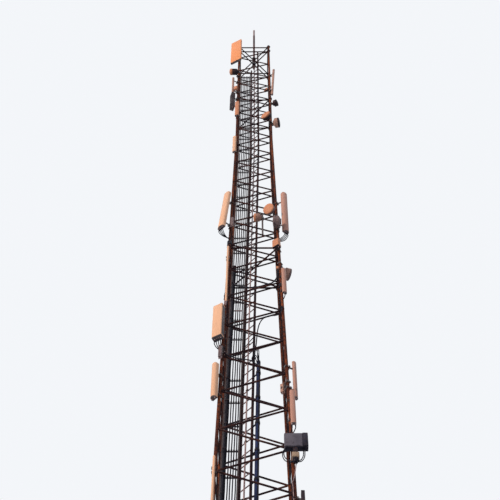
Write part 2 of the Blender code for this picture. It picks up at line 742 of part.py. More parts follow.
for name, kind, leg, across, along, level, size, wide, facing, tilt in EQUIPMENT_SHARES:
    finish, height, build = KINDS[kind]
    if kind != "drum":
        height *= size
    centre = equipment_centre(leg, across, along, level)
    place = (Matrix.Translation(centre) @ Matrix.Rotation(math.radians(facing), 4, "Z")
             @ Matrix.Rotation(math.radians(tilt), 4, "Y"))
    body = build(size, wide)
    body.data.transform(place)
    pieces = [body]
    if name == "drum_inner_left":
        pieces.append(bracket_post(leg, across, along, level))
    # A leaning panel's arms end on its own axis
    axis = place.to_3x3() @ Vector((0.0, 0.0, 1.0))
    for side in (-1.0, 1.0) if height > TWO_ARMS_OVER else (0.0,):
        wanted = centre.z + side * ARM_SPREAD_SHARE * height
        z = clear_height(leg, wanted, side if side else 1.0)
        end = centre + axis * ((z - centre.z) / axis.z) if side else centre
        pieces += arm(leg, end, z)
    keep(name, finish, combine(pieces))

    # Round gland pod that hangs under the cabinet
    if kind == "cabinet":
        top = centre.z - height / 2.0 - GAP
        pod = turned([(0.0, top), (GLAND_CAP_R, top), (GLAND_CAP_R, top - GLAND_CAP_H),
                      (GLAND_R, top - GLAND_CAP_H), (GLAND_R, top - GLAND_H), (0.0, top - GLAND_H)],
                     ROD_SIDES, Matrix.Translation((centre.x, centre.y, 0.0)))
        keep("cabinet_gland", "cable_black", pod)
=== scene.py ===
"""Looks of the cell tower: materials, fine pieces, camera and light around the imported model."""

import json
import math

import bmesh
import bpy
from mathutils import Matrix, Vector

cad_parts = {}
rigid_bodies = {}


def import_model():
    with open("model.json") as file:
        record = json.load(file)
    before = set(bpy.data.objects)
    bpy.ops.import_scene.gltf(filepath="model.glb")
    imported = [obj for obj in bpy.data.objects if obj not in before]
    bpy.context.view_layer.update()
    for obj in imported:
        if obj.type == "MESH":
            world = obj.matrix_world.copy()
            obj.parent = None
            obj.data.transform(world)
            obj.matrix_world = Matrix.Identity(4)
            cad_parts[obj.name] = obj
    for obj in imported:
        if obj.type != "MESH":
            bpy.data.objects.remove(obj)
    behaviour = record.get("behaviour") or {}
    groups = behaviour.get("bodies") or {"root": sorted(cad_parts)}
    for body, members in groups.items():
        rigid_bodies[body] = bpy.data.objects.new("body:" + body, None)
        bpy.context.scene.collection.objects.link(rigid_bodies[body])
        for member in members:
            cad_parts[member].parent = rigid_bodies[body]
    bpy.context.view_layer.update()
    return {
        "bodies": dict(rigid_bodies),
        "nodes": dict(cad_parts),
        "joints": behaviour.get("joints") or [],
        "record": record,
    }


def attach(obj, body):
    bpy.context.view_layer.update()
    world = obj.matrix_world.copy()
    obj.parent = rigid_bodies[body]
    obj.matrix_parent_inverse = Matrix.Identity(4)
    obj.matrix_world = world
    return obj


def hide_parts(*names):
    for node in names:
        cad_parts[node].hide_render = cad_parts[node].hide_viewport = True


bl_info = {
    "name": "Cell tower looks",
    "version": (1, 1, 0),
    "blender": (4, 5, 0),
    "location": "View3D > Sidebar > Tower",
    "description": "Builds the finishes and fine pieces of a lattice cell tower",
    "category": "Add Mesh",
}

BODY = "root"
UP = Vector((0.0, 0.0, 1.0))
DOWN = -UP
FRONT = Vector((0.0, -1.0, 0.0))

# Mast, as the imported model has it
GAP = 0.0003
HALF_TOP = 0.470
KNEE = 29.55
SPREAD_SHARE = 0.01321
MAST_TOP = 36.80
PITCH = 1.10
FIRST_NODE = 0.533
LEG_R = 0.030
GUSSET = 0.018
CROTCH = 0.022
RING_H = 0.032
RING_DROP = 0.103
RING_BAR_W = 0.030
RING_BAYS = 8
FIRST_RING_BAY = 5
RING_COUNT = 4
FLANGE_H = 0.030
PAD_TOP = 0.100
FOOT_H = 0.026
TOP_FRAMES = (36.38, 36.76)
ROD_CLAMPS = (36.367, 36.918)

# Ladder, feeders and bundle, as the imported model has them
LADDER_W = 0.283
LADDER_SHIFT = 0.070
STILE_W = 0.025
STILE_D = 0.050
RUNG_STEP = 0.300
RUNG = 0.024
LADDER_BOTTOM = 0.30
LADDER_TOP = 35.90
RIGHT_STILE_TOP = 37.00
LACING_T = 0.026
TRAY_W = 0.326
TRAY_BAR = 0.022
TRAY_BACK = 0.030
TRAY_STEP = 0.690
TRAY_BOTTOM = 0.45
FEEDER_R = 0.012
FEEDER_STEP = 0.046
FEEDER_COUNT = 6
FEEDER_BOTTOM = 0.34
FEEDER_TOP = 35.20
HANGER_BAYS = 10
BUNDLE_R = 0.036
BUNDLE_TOP = 19.70
BUNDLE_SIDE = 0.149
CLAMP_STEP = 0.750

LEFT = "front_left"
RIGHT = "front_right"
LEGS = {LEFT: (-1, -1), RIGHT: (1, -1), "back_left": (-1, 1), "back_right": (1, 1)}
LEG_CLAMPS = ((LEFT, 23.68, 0.16), (RIGHT, 21.83, 0.12))
REACH = 0.200
SEAT_T = 0.016
SEAT_H = 0.050
SEAT_W = 0.072
TWO_ARMS_OVER = 0.60

# Round parts of the fine pieces
JUMPER_R = 0.0095
JUMPER_STEP = 0.030
JUMPER_STUB = 0.060
LOOP_R = 0.0085
BUNCH_R = 0.0135
STRAND_R = 0.0125
STRAND_COUNT = 7
CABINET_CABLE_R = 0.008
ARM_R = 0.0165
U_BOLT_R = 0.0045
BRACKET_R = 0.0095

# Depth, width and length of each kind of equipment, then the node's own row: kind, leg, place
# across and along in shares of REACH, height in shares of MAST_TOP, length share, width share,
# facing and lean in degrees, number of ports underneath, main finish and second finish
SIZES = {
    "sector": (0.100, 0.190, 1.900), "flat": (0.070, 0.360, 1.800), "slim": (0.060, 0.095, 1.000),
    "broad": (0.130, 0.215, 1.120), "case": (0.110, 0.150, 0.500), "unit": (0.110, 0.150, 0.500),
    "box": (0.060, 0.070, 0.250), "drum": (0.140, 0.140, 0.190), "omni": (0.023, 0.023, 2.370),
    "cabinet": (0.130, 0.400, 0.340),
}
EQUIPMENT = {
    "flat_panel_top_left": ("flat", LEFT, -.45, -.45, .9798, 1.0, 1.0, 243, 0, 2, "radome_sunset", "shade"),
    "drum_top_left": ("drum", LEFT, -.62, -.85, .9260, 1.58, .71, 180, 0, 0, "radome_warm", "shroud"),
    "slim_panel_top_left": ("slim", LEFT, -.78, -.35, .9021, 1.26, .63, 215, 0, 1, "dull", "shade"),
    "radio_unit_upper_left": ("unit", LEFT, -.74, -.35, .8770, 1.0, 1.0, 200, 0, 2, "shroud", "shade"),
    "radio_unit_lower_left": ("unit", LEFT, -.74, -.35, .8620, 1.0, 1.0, 200, 0, 2, "shroud", "shade"),
    "junction_box_top_left": ("box", LEFT, -.34, -.85, .8898, .9, 1.4, 250, 0, 1, "radome_warm", "shade"),
    "small_panel_left": ("slim", LEFT, -.04, -.65, .8507, .98, 1.21, 260, 0, 1, "radome_warm", "shade"),
    "slim_panel_left": ("slim", LEFT, -.20, -.62, .7852, .95, 1.0, 245, 0, 1, "radome", "shade"),
    "long_panel_left": ("sector", LEFT, -.84, -.58, .6820, 1.0, 1.0, 226, -4.4, 4, "radome", "shade"),
    "junction_box_left": ("box", LEFT, .20, -.75, .6641, 1.5, 1.0, 250, 0, 2, "casting", "shade"),
    "omni_antenna_left": ("omni", LEFT, -.01, -.56, .6020, 1.0, 1.0, 270, 0, 1, "radome", "shade"),
    "broad_panel_left": ("broad", LEFT, -.52, -.74, .5491, 1.0, 1.0, 242, 0, 4, "radome", "shade"),
    "junction_box_low_left": ("box", LEFT, -.15, -.52, .5231, 1.5, 1.0, 250, 0, 2, "casting", "shade"),
    "lower_panel_left": ("sector", LEFT, -.51, -.62, .4968, .54, .63, 225, 0, 2, "radome", "shade"),
    "bottom_panel_left": ("omni", LEFT, .0, -.65, .4185, .64, 1.0, 262, 0, 1, "radome", "shade"),
    "slim_panel_top_right": ("slim", RIGHT, .49, -.30, .9111, 1.86, .63, 320, 3.0, 1, "dull", "shade"),
    "junction_box_top_right": ("box", RIGHT, -.57, .45, .9038, .6, 1.5, 240, 0, 1, "radome_warm", "shade"),
    "drum_upper_right": ("drum", RIGHT, .70, -.30, .8662, .79, .71, 335, 0, 0, "shroud", "shroud"),
    "drum_middle_front": ("drum", RIGHT, -.60, -.98, .8315, 1.0, 1.0, 235, 0, 0, "radome_warm", "shroud"),
    "drum_middle_right": ("drum", RIGHT, .76, -.30, .8280, 1.0, 1.0, 350, 0, 0, "shroud", "dull"),
    "long_panel_right": ("sector", RIGHT, .99, -.36, .6812, 1.0, .79, 307, 0, 4, "radome_pink", "shade"),
    "drum_inner_right": ("drum", RIGHT, -.85, -.95, .6788, .8, 1.0, 233, 20, 0, "radome_warm", "casting"),
    "drum_inner_left": ("drum", RIGHT, -2.26, -.63, .6714, 1.0, .71, 180, 0, 0, "radome_warm", "dull"),
    "drum_low_right": ("drum", RIGHT, -.10, -1.15, .6606, 1.0, 1.0, 180, 0, 0, "casting", "casting"),
    "radio_unit_right": ("case", RIGHT, -.29, -.85, .6345, .62, 1.1, 235, 0, 2, "radome_warm", "shroud"),
    "slim_panel_right": ("slim", RIGHT, .31, -.56, .5942, .96, 1.0, 300, 0, 1, "radome_pink", "shade"),
    "drum_side_right": ("drum", RIGHT, .74, 1.30, .6190, 1.0, 1.0, 20, 0, 0, "casting", "dull"),
    "radio_unit_low_right": ("box", RIGHT, -.47, .70, .5000, 1.0, 1.0, 240, 0, 1, "dull", "shade"),
    "side_panel_right": ("slim", RIGHT, .72, .30, .5043, 1.1, 1.0, 330, 0, 1, "radome_pink", "shade"),
    "lower_panel_right": ("slim", RIGHT, .27, -.58, .4759, .94, 1.0, 275, 0, 2, "radome_pink", "shade"),
    "cabinet_right": ("cabinet", RIGHT, .31, -.85, .4477, 1.0, 1.0, 270, 0, 0, "cabinet", "cabinet_dark"),
    "junction_box_low_right": ("box", RIGHT, .60, -.05, .4143, 1.2, 1.57, 0, 0, 2, "shroud", "shade"),
}


def spread(z):
    """How far a leg stands out past its place above the knee."""
    return max(0.0, KNEE - z) * SPREAD_SHARE


def half(z):
    """Half the distance between two legs at a height."""
    return HALF_TOP + spread(z)


def on_leg(leg, z):
    way = LEGS[leg]
    return Vector((way[0] * half(z), way[1] * half(z), z))


def leaning(x, y, z):
    """Point of a run that leans with the back left leg."""
    return Vector((x - spread(z), y + spread(z), z))


def ring_heights():
    return [FIRST_NODE + (FIRST_RING_BAY + RING_BAYS * i) * PITCH - RING_DROP for i in range(RING_COUNT)]


SEAT_CLEAR = 0.010


def clear_height(leg, wanted, side):
    """Height of a seat on a leg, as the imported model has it."""
    first = FIRST_NODE if leg in (LEFT, "back_right") else FIRST_NODE + PITCH / 2.0
    node = first + round((wanted - first) / PITCH) * PITCH
    keep_off = GUSSET + SEAT_H / 2.0 + CROTCH + SEAT_CLEAR
    if node < MAST_TOP - PITCH / 2.0 and abs(wanted - node) < keep_off:
        wanted = node + side * keep_off
    for height in ring_heights():
        low = height - RING_H / 2.0 - SEAT_H / 2.0 - SEAT_CLEAR
        high = height + RING_H / 2.0 + GAP + FLANGE_H + SEAT_H / 2.0 + SEAT_CLEAR
        if low < wanted < high:
            wanted = low if side < 0.0 else high
    return wanted


# Materials


def socket(node, name, value):
    node.inputs[name].default_value = value


def add_node(tree, kind, **values):
    """Shader node of one kind, its inputs set by name, with _ for a space."""
    made = tree.nodes.new("ShaderNode" + kind)
    for name, value in values.items():
        socket(made, name.replace("_", " "), value)
    return made


def ramp_node(tree, stops):
    """Colour ramp with its first and last stops, and any between them."""
    made = add_node(tree, "ValToRGB")
    for item, (position, tone) in zip(made.color_ramp.elements, (stops[0], stops[-1])):
        item.position = position
        if tone is not None:
            item.color = (*tone, 1.0)
    for position, tone in stops[1:-1]:
        made.color_ramp.elements.new(position).color = (*tone, 1.0)
    return made


# Broad tone changes: where the dark, base and light tones stand on the noise
TONE_STOPS = (0.35, 0.5, 0.68)
GRAIN_SCALE = 180.0
GRAIN_DEPTH = 0.002
SMOOTHEST = 0.08
ROUGHEST = 0.12


def layered(name, base, dark, light, rough, metallic=0.0, scale=6.0, streak=0.15, bump=0.15,
            dirt=None, dirt_amount=0.0, spec=0.25):
    """Painted or moulded surface: large tone changes, upright streaks, dirt and fine bump."""
    made = bpy.data.materials.new(name)
    made.use_nodes = True
    tree = made.node_tree
    link = tree.links.new
    shader = tree.nodes["Principled BSDF"]
    socket(shader, "Metallic", metallic)
    socket(shader, "Specular IOR Level", spec)
    place = add_node(tree, "TexCoord").outputs["Object"]
    tall = add_node(tree, "Mapping", Scale=(1.0, 1.0, streak))
    link(place, tall.inputs["Vector"])
    broad = add_node(tree, "TexNoise", Scale=scale, Detail=6.0, Roughness=0.6)
    link(tall.outputs["Vector"], broad.inputs["Vector"])
    ramp = ramp_node(tree, list(zip(TONE_STOPS, (dark, base, light))))
    link(broad.outputs["Fac"], ramp.inputs["Fac"])
    colour = ramp.outputs["Color"]
    if dirt is not None:
        spots = add_node(tree, "TexNoise", Scale=scale * 4.0, Detail=8.0)
        link(place, spots.inputs["Vector"])
        mask = ramp_node(tree, [(0.60 - 0.25 * dirt_amount, None), (0.74 - 0.15 * dirt_amount, None)])
        link(spots.outputs["Fac"], mask.inputs["Fac"])
        mix = add_node(tree, "Mix")
        mix.data_type = "RGBA"
        link(mask.outputs["Color"], mix.inputs["Factor"])
        link(colour, mix.inputs["A"])
        socket(mix, "B", (*dirt, 1.0))
        colour = mix.outputs["Result"]
    link(colour, shader.inputs["Base Color"])
    wear = add_node(tree, "MapRange", To_Min=rough - SMOOTHEST, To_Max=rough + ROUGHEST)
    link(broad.outputs["Fac"], wear.inputs["Value"])
    link(wear.outputs["Result"], shader.inputs["Roughness"])
    grain = add_node(tree, "TexNoise", Scale=GRAIN_SCALE, Detail=3.0)
    link(place, grain.inputs["Vector"])
    relief = add_node(tree, "Bump", Strength=bump, Distance=GRAIN_DEPTH)
    link(grain.outputs["Fac"], relief.inputs["Height"])
    link(relief.outputs["Normal"], shader.inputs["Normal"])
    return made


def moulded(base):
    """Values of an even radome plastic, its other tones close about the base."""
    dark, light, dirt = [tuple(round(value * share, 3) for value in base) for share in (0.90, 1.06, 0.93)]
    return dict(base=base, dark=dark, light=light, rough=0.5, scale=3.0, streak=0.2, bump=0.08, dirt=dirt,
                dirt_amount=0.05)


FINISHES = {
    "leg_rust": dict(base=(0.118, 0.031, 0.015), dark=(0.028, 0.010, 0.010), light=(0.290, 0.080, 0.030),
        rough=0.78, scale=5.0, streak=0.25, bump=0.35, spec=0.1, dirt=(0.018, 0.008, 0.009),
        dirt_amount=0.5),
    "lacing_rust": dict(base=(0.036, 0.015, 0.016), dark=(0.014, 0.007, 0.011), light=(0.110, 0.042, 0.028),
        rough=0.75, scale=3.0, streak=1.0, bump=0.3, spec=0.1, dirt=(0.012, 0.006, 0.010), dirt_amount=0.4),
    "ladder_rust": dict(base=(0.042, 0.018, 0.020), dark=(0.016, 0.008, 0.013), light=(0.110, 0.048, 0.040),
        rough=0.75, scale=5.0, streak=0.2, bump=0.3, spec=0.1, dirt=(0.014, 0.008, 0.012), dirt_amount=0.5),
    # Pale steels tinted pink: partly the steel's own grey, partly painted sunset light
    "rung_steel_with_painted_sunlight": dict(base=(0.200, 0.140, 0.150), dark=(0.090, 0.060, 0.070), light=(0.340, 0.240, 0.230),
        rough=0.6, metallic=0.2, scale=9.0, streak=1.0, bump=0.25, dirt=(0.060, 0.032, 0.034),
        dirt_amount=0.4),
    "galvanised_with_painted_sunlight": dict(base=(0.290, 0.200, 0.205), dark=(0.160, 0.105, 0.115), light=(0.430, 0.310, 0.300),
        rough=0.5, metallic=0.2, scale=12.0, streak=0.5, bump=0.2, dirt=(0.100, 0.060, 0.055),
        dirt_amount=0.3),
    "bolt_steel": dict(base=(0.130, 0.095, 0.090), dark=(0.050, 0.034, 0.034), light=(0.240, 0.180, 0.165),
        rough=0.5, metallic=0.5, scale=30.0, streak=1.0, bump=0.25, dirt=(0.060, 0.028, 0.018),
        dirt_amount=0.5),
    "dark_steel": dict(base=(0.026, 0.016, 0.020), dark=(0.012, 0.008, 0.012), light=(0.070, 0.038, 0.036),
        rough=0.65, scale=6.0, streak=0.3, bump=0.25, spec=0.1, dirt=(0.055, 0.028, 0.022),
        dirt_amount=0.3),
    "mast_steel": dict(base=(0.085, 0.040, 0.044), dark=(0.040, 0.020, 0.026), light=(0.150, 0.072, 0.066),
        rough=0.55, metallic=0.2, scale=8.0, streak=0.2, bump=0.2, spec=0.12, dirt=(0.040, 0.022, 0.024),
        dirt_amount=0.3),
    # Radome plastic is light grey, painted with the sunset's light. The first tone is peach from painted
    # sunlight. The next two are copies painted with stronger orange sunlight, and the last is a copy painted
    # in shade.
    "radome": moulded((0.760, 0.440, 0.275)),
    "radome_warm": moulded((0.550, 0.228, 0.120)),
    "radome_sunset": moulded((0.790, 0.300, 0.120)),
    "radome_pink": moulded((0.460, 0.242, 0.186)),
    "dull": dict(base=(0.400, 0.230, 0.180), dark=(0.300, 0.165, 0.135), light=(0.500, 0.300, 0.235),
        rough=0.6, scale=4.0, streak=0.2, bump=0.12, dirt=(0.200, 0.110, 0.090), dirt_amount=0.3),
    "shade": dict(base=(0.120, 0.105, 0.110), dark=(0.075, 0.064, 0.070), light=(0.180, 0.155, 0.150),
        rough=0.55, scale=8.0, streak=0.4, bump=0.15, dirt=(0.060, 0.044, 0.044), dirt_amount=0.3),
    "casting": dict(base=(0.170, 0.120, 0.125), dark=(0.085, 0.058, 0.066), light=(0.270, 0.190, 0.180),
        rough=0.55, metallic=0.15, scale=8.0, streak=0.4, bump=0.25, dirt=(0.080, 0.042, 0.036),
        dirt_amount=0.4),
    "shroud": dict(base=(0.026, 0.020, 0.028), dark=(0.012, 0.010, 0.016), light=(0.060, 0.045, 0.052),
        rough=0.5, scale=9.0, streak=0.5, bump=0.2, spec=0.08, dirt=(0.110, 0.050, 0.030),
        dirt_amount=0.25),
    "cabinet": dict(base=(0.105, 0.096, 0.122), dark=(0.086, 0.078, 0.102), light=(0.130, 0.118, 0.146),
        rough=0.5, metallic=0.1, scale=5.0, streak=0.3, bump=0.12, spec=0.15, dirt=(0.062, 0.052, 0.066),
        dirt_amount=0.25),
    # Painted shade for the cabinet's right-hand side and underside
    "cabinet_dark": dict(base=(0.022, 0.022, 0.036), dark=(0.013, 0.013, 0.022),
        light=(0.040, 0.038, 0.056), rough=0.5, scale=7.0, streak=0.4, bump=0.15, spec=0.06,
        dirt=(0.050, 0.036, 0.038), dirt_amount=0.3),
    "cream": dict(base=(0.330, 0.235, 0.165), dark=(0.290, 0.205, 0.145), light=(0.370, 0.270, 0.190),
        rough=0.55, scale=12.0, streak=0.6, bump=0.06, dirt=(0.250, 0.170, 0.120), dirt_amount=0.1),
    "sheath": dict(base=(0.010, 0.010, 0.018), dark=(0.006, 0.006, 0.011), light=(0.026, 0.024, 0.038),
        rough=0.5, scale=10.0, streak=0.2, bump=0.15, spec=0.08, dirt=(0.040, 0.030, 0.036),
        dirt_amount=0.2),
    "bundle_wrap": dict(base=(0.016, 0.028, 0.090), dark=(0.008, 0.014, 0.044), light=(0.034, 0.054, 0.150),
        rough=0.45, scale=7.0, streak=0.15, bump=0.25, spec=0.12, dirt=(0.026, 0.026, 0.050),
        dirt_amount=0.25),
}


def finish(name):
    """Material of one finish, made once."""
    return bpy.data.materials.get(name) or layered(name, **FINISHES[name])


NODE_FINISHES = {
    "leg_": "leg_rust", "bracing": "lacing_rust", "tie_ring": "lacing_rust", "top_frame": "lacing_rust",
    "base_frame": "dark_steel", "cable_ladder": "dark_steel", "lightning_mast": "mast_steel",
    "lightning_tip": "galvanised_with_painted_sunlight", "safety_rail": "galvanised_with_painted_sunlight",
}


def dress_nodes(frame):
    """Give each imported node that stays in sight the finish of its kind."""
    for name, node in frame["nodes"].items():
        choice = [value for key, value in NODE_FINISHES.items() if name.startswith(key)]
        node.data.materials.clear()
        node.data.materials.append(finish(choice[0] if choice else "shade"))


# Shapes, each a bmesh about its own origin


def slab(size, edge=0.003):
    """Block with all its edges rounded."""
    edit = bmesh.new()
    bmesh.ops.create_cube(edit, size=1.0)
    bmesh.ops.scale(edit, vec=size, verts=edit.verts)
    bmesh.ops.bevel(edit, geom=edit.edges[:], offset=min(edge, 0.3 * min(size)), segments=2, profile=0.5,
                    affect="EDGES")
    return edit


def prism(loop, height, edge=0.006):
    """Upright body on a flat outline, its end rims rounded."""
    edit = bmesh.new()
    face = edit.faces.new([edit.verts.new((x, y, -height / 2.0)) for x, y in loop])
    grown = bmesh.ops.extrude_face_region(edit, geom=[face])
    raised = [item for item in grown["geom"] if isinstance(item, bmesh.types.BMVert)]
    bmesh.ops.translate(edit, vec=(0.0, 0.0, height), verts=raised)
    rims = [item for item in edit.edges if abs(item.verts[0].co.z - item.verts[1].co.z) < 1e-5]
    bmesh.ops.bevel(edit, geom=rims, offset=edge, segments=2, profile=0.5, affect="EDGES")
    return edit


def skin(edit, rings):
    """Faces between neighbouring rings of vertices; a ring of one is a point."""
    for first, second in zip(rings, rings[1:]):
        count = max(len(first), len(second))
        for i in range(count):
            j = (i + 1) % count
            loop = [first[i % len(first)], first[j % len(first)],
                    second[j % len(second)], second[i % len(second)]]
            loop = list(dict.fromkeys(loop))
            if len(loop) > 2:
                edit.faces.new(loop)


def lathe(profile, sides):
    """Profile of (radius, height) pairs turned about Z, closed where the radius is zero."""
    edit = bmesh.new()
    rings = []
    for radius, height in profile:
        if radius <= 0.0:
            rings.append([edit.verts.new((0.0, 0.0, height))])
            continue
        angles = [2.0 * math.pi * i / sides for i in range(sides)]
        rings.append([edit.verts.new((radius * math.cos(a), radius * math.sin(a), height)) for a in angles])
    skin(edit, rings)
    return edit


def puck(radius, low, high, sides):
    """Plain round disc between two heights."""
    return lathe([(0.0, low), (radius, low), (radius, high), (0.0, high)], sides)


def collar(radius, tall, rim, chamfer):
    """Round collar about Z, its rims cut back."""
    low = -tall / 2.0
    return lathe([(0.0, low), (radius - rim, low), (radius, low + chamfer), (radius, -low - chamfer),
                  (radius - rim, -low), (0.0, -low)], 20)


def around(angle):
    """Unit vector at an angle about Z."""
    return Vector((math.cos(angle), math.sin(angle), 0.0))


def smooth_path(points, per=5):
    """Points of a smooth curve through the given ones."""
    points = [Vector(point) for point in points]
    padded = [points[0] * 2.0 - points[1]] + points + [points[-1] * 2.0 - points[-2]]
    found = []
    for a, b, c, d in zip(padded, padded[1:], padded[2:], padded[3:]):
        for i in range(per):
            t = i / per
            found.append((b * 2.0 + (c - a) * t + (a * 2.0 - b * 5.0 + c * 4.0 - d) * t * t
                          + (b * 3.0 - a - c * 3.0 + d) * t * t * t) / 2.0)
    return found + [points[-1]]


def pipe(points, radius, sides=10):
    """Round bar along a path, its ends closed."""
    edit = bmesh.new()
    points = [Vector(point) for point in points]
    rings = [[edit.verts.new(points[0])]]
    normal = (points[1] - points[0]).orthogonal()
    for i, point in enumerate(points):
        ahead = (points[min(i + 1, len(points) - 1)] - points[max(i - 1, 0)]).normalized()
        normal = (normal - ahead * normal.dot(ahead)).normalized()
        other = ahead.cross(normal)
        angles = [2.0 * math.pi * k / sides for k in range(sides)]
        rings.append([edit.verts.new(point + (normal * math.cos(a) + other * math.sin(a)) * radius)
                      for a in angles])
    rings.append([edit.verts.new(points[-1])])
    skin(edit, rings)
    return edit


def aim(point, way):
    """Matrix that puts local Z along a direction at a point."""
    return Matrix.Translation(point) @ Vector(way).to_track_quat("Z", "Y").to_matrix().to_4x4()


def bar(start, end, width, depth, turn, edge=0.002):
    """Rounded flat bar between two points that are nearly above each other."""
    start = Vector(start)
    end = Vector(end)
    edit = slab((width, depth, (end - start).length), edge)
    tilt = Vector((0.0, 0.0, 1.0)).rotation_difference(end - start).to_matrix().to_4x4()
    bmesh.ops.transform(edit, matrix=Matrix.Translation((start + end) / 2.0) @ tilt
                        @ Matrix.Rotation(turn, 4, "Z"), verts=edit.verts)
    return edit


class Piece:
    """One visible piece: shapes are added with a finish each, then it is put on the body."""

    def __init__(self, name):
        self.name = name
        self.edit = bmesh.new()
        self.finishes = []

    def add(self, edit, finish_name, matrix=None):
        if matrix is not None:
            bmesh.ops.transform(edit, matrix=matrix, verts=edit.verts)
        if finish_name not in self.finishes:
            self.finishes.append(finish_name)
        for face in edit.faces:
            face.material_index = self.finishes.index(finish_name)
        data = bpy.data.meshes.new("shape")
        edit.to_mesh(data)
        edit.free()
        self.edit.from_mesh(data)
        bpy.data.meshes.remove(data)

    def bolt(self, point, way, radius=0.008, shank=0.0):
        """Hexagon head with a washer, and its shank behind it."""
        self.add(lathe([(0.0, -shank), (radius * 0.6, -shank), (radius * 0.6, 0.0), (radius * 1.5, 0.0),
                        (radius * 1.5, 0.002), (0.0, 0.002)], 12), "bolt_steel", aim(point, way))
        self.add(lathe([(0.0, 0.002), (radius, 0.002), (radius, radius), (radius * 0.8, radius * 1.2),
                        (0.0, radius * 1.2)], 6), "bolt_steel", aim(point, way))

    def place(self, *nodes):
        data = bpy.data.meshes.new(self.name)
        bmesh.ops.recalc_face_normals(self.edit, faces=self.edit.faces)
        self.edit.to_mesh(data)
        self.edit.free()
        for item in self.finishes:
            data.materials.append(finish(item))
        data.shade_smooth()
        data.set_sharp_from_angle(angle=math.radians(38.0))
        made = bpy.data.objects.new(self.name, data)
        bpy.context.scene.collection.objects.link(made)
        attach(made, BODY)
        if nodes:
            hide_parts(*nodes)
        return made


# Ladder, feeders and bundle

ALONG = Vector((math.sqrt(0.5), -math.sqrt(0.5), 0.0))
TOWARD = Vector((-math.sqrt(0.5), -math.sqrt(0.5), 0.0))
LADDER_OFF = RING_BAR_W / 2.0 + GAP + STILE_D / 2.0
LADDER_TURN = math.radians(-45.0)


def on_ladder(along, toward, z):
    place = ALONG * (LADDER_SHIFT + along) + TOWARD * (LADDER_OFF + toward)
    return leaning(place.x, place.y, z)


CAP_PROFILE = ((0.0, 0.0), (0.022, 0.0), (0.024, 0.01), (0.024, 0.05), (0.016, 0.06), (0.0, 0.06))
CAP_DROP = 0.045
RUNG_BITE = 0.004
WELD_H = 0.012
WELD_SHIFT = 0.008
RAIL_CLIP = (0.052, 0.030, 0.044)
RAIL_OFF = 0.014
RAIL_BOLT_SIDE = 0.020
RAIL_BOLT_OFF = 0.030
RAIL_CLIP_STEP = 5


def build_ladder(settings):
    """Flat stiles with round rungs welded between them, the taller stile's cap and the rail's clips."""
    made = Piece("ladder_detail")
    for side, top in ((-1.0, LADDER_TOP), (1.0, RIGHT_STILE_TOP)):
        along = side * LADDER_W / 2.0
        for low, high in ((LADDER_BOTTOM, KNEE), (KNEE, top)):
            # The upper left stile takes the pale pink rung tone, a painted sunset highlight; the rest of the
            # ladder is plain rusty steel
            look = "rung_steel_with_painted_sunlight" if side < 0.0 and low == KNEE else "ladder_rust"
            ends = [on_ladder(along, 0.0, z) for z in (low, high)]
            made.add(bar(*ends, STILE_W, STILE_D, LADDER_TURN), look)
    made.add(lathe(CAP_PROFILE, 16), "sheath",
             Matrix.Translation(on_ladder(LADDER_W / 2.0, 0.0, RIGHT_STILE_TOP - CAP_DROP)))
    for i in range(int((LADDER_TOP - LADDER_BOTTOM - RUNG) / RUNG_STEP)):
        z = LADDER_BOTTOM + (i + 0.5) * RUNG_STEP
        ends = [on_ladder(side * (LADDER_W / 2.0 - RUNG_BITE), 0.0, z) for side in (-1.0, 1.0)]
        made.add(pipe(ends, settings.rung_radius, 10), "rung_steel_with_painted_sunlight")
        for end, way in zip(ends, (1.0, -1.0)):
            weld = lathe([(0.0, 0.0), (settings.rung_radius * 1.5, 0.0), (settings.rung_radius, WELD_H),
                          (0.0, WELD_H)], 10)
            made.add(weld, "ladder_rust", aim(end + ALONG * way * WELD_SHIFT, ALONG * way))
    made.place("ladder")

    rail = Piece("safety_rail_clips")
    for i in range(2, int((LADDER_TOP - LADDER_BOTTOM) / RUNG_STEP) - 1, RAIL_CLIP_STEP):
        z = LADDER_BOTTOM + (i + 0.5) * RUNG_STEP
        ends = [on_ladder(0.0, RAIL_OFF, z + side * RAIL_CLIP[2] / 2.0) for side in (-1.0, 1.0)]
        rail.add(bar(*ends, RAIL_CLIP[0], RAIL_CLIP[1], LADDER_TURN), "bolt_steel")
        for side in (-1.0, 1.0):
            rail.bolt(on_ladder(side * RAIL_BOLT_SIDE, RAIL_BOLT_OFF, z), TOWARD, 0.006)
    rail.place()


SADDLE = (0.034, 0.012, 0.022)
HANGER = (0.012, 0.040)
BUNCH_PLACES = ((-0.006, 0.026), (0.026, 0.027), (0.010, 0.052))
BUNCH_BAND = (0.072, 0.078, 0.020)
BUNCH_MIDDLE = (0.010, 0.030)
KNEE_CLEAR = 0.05


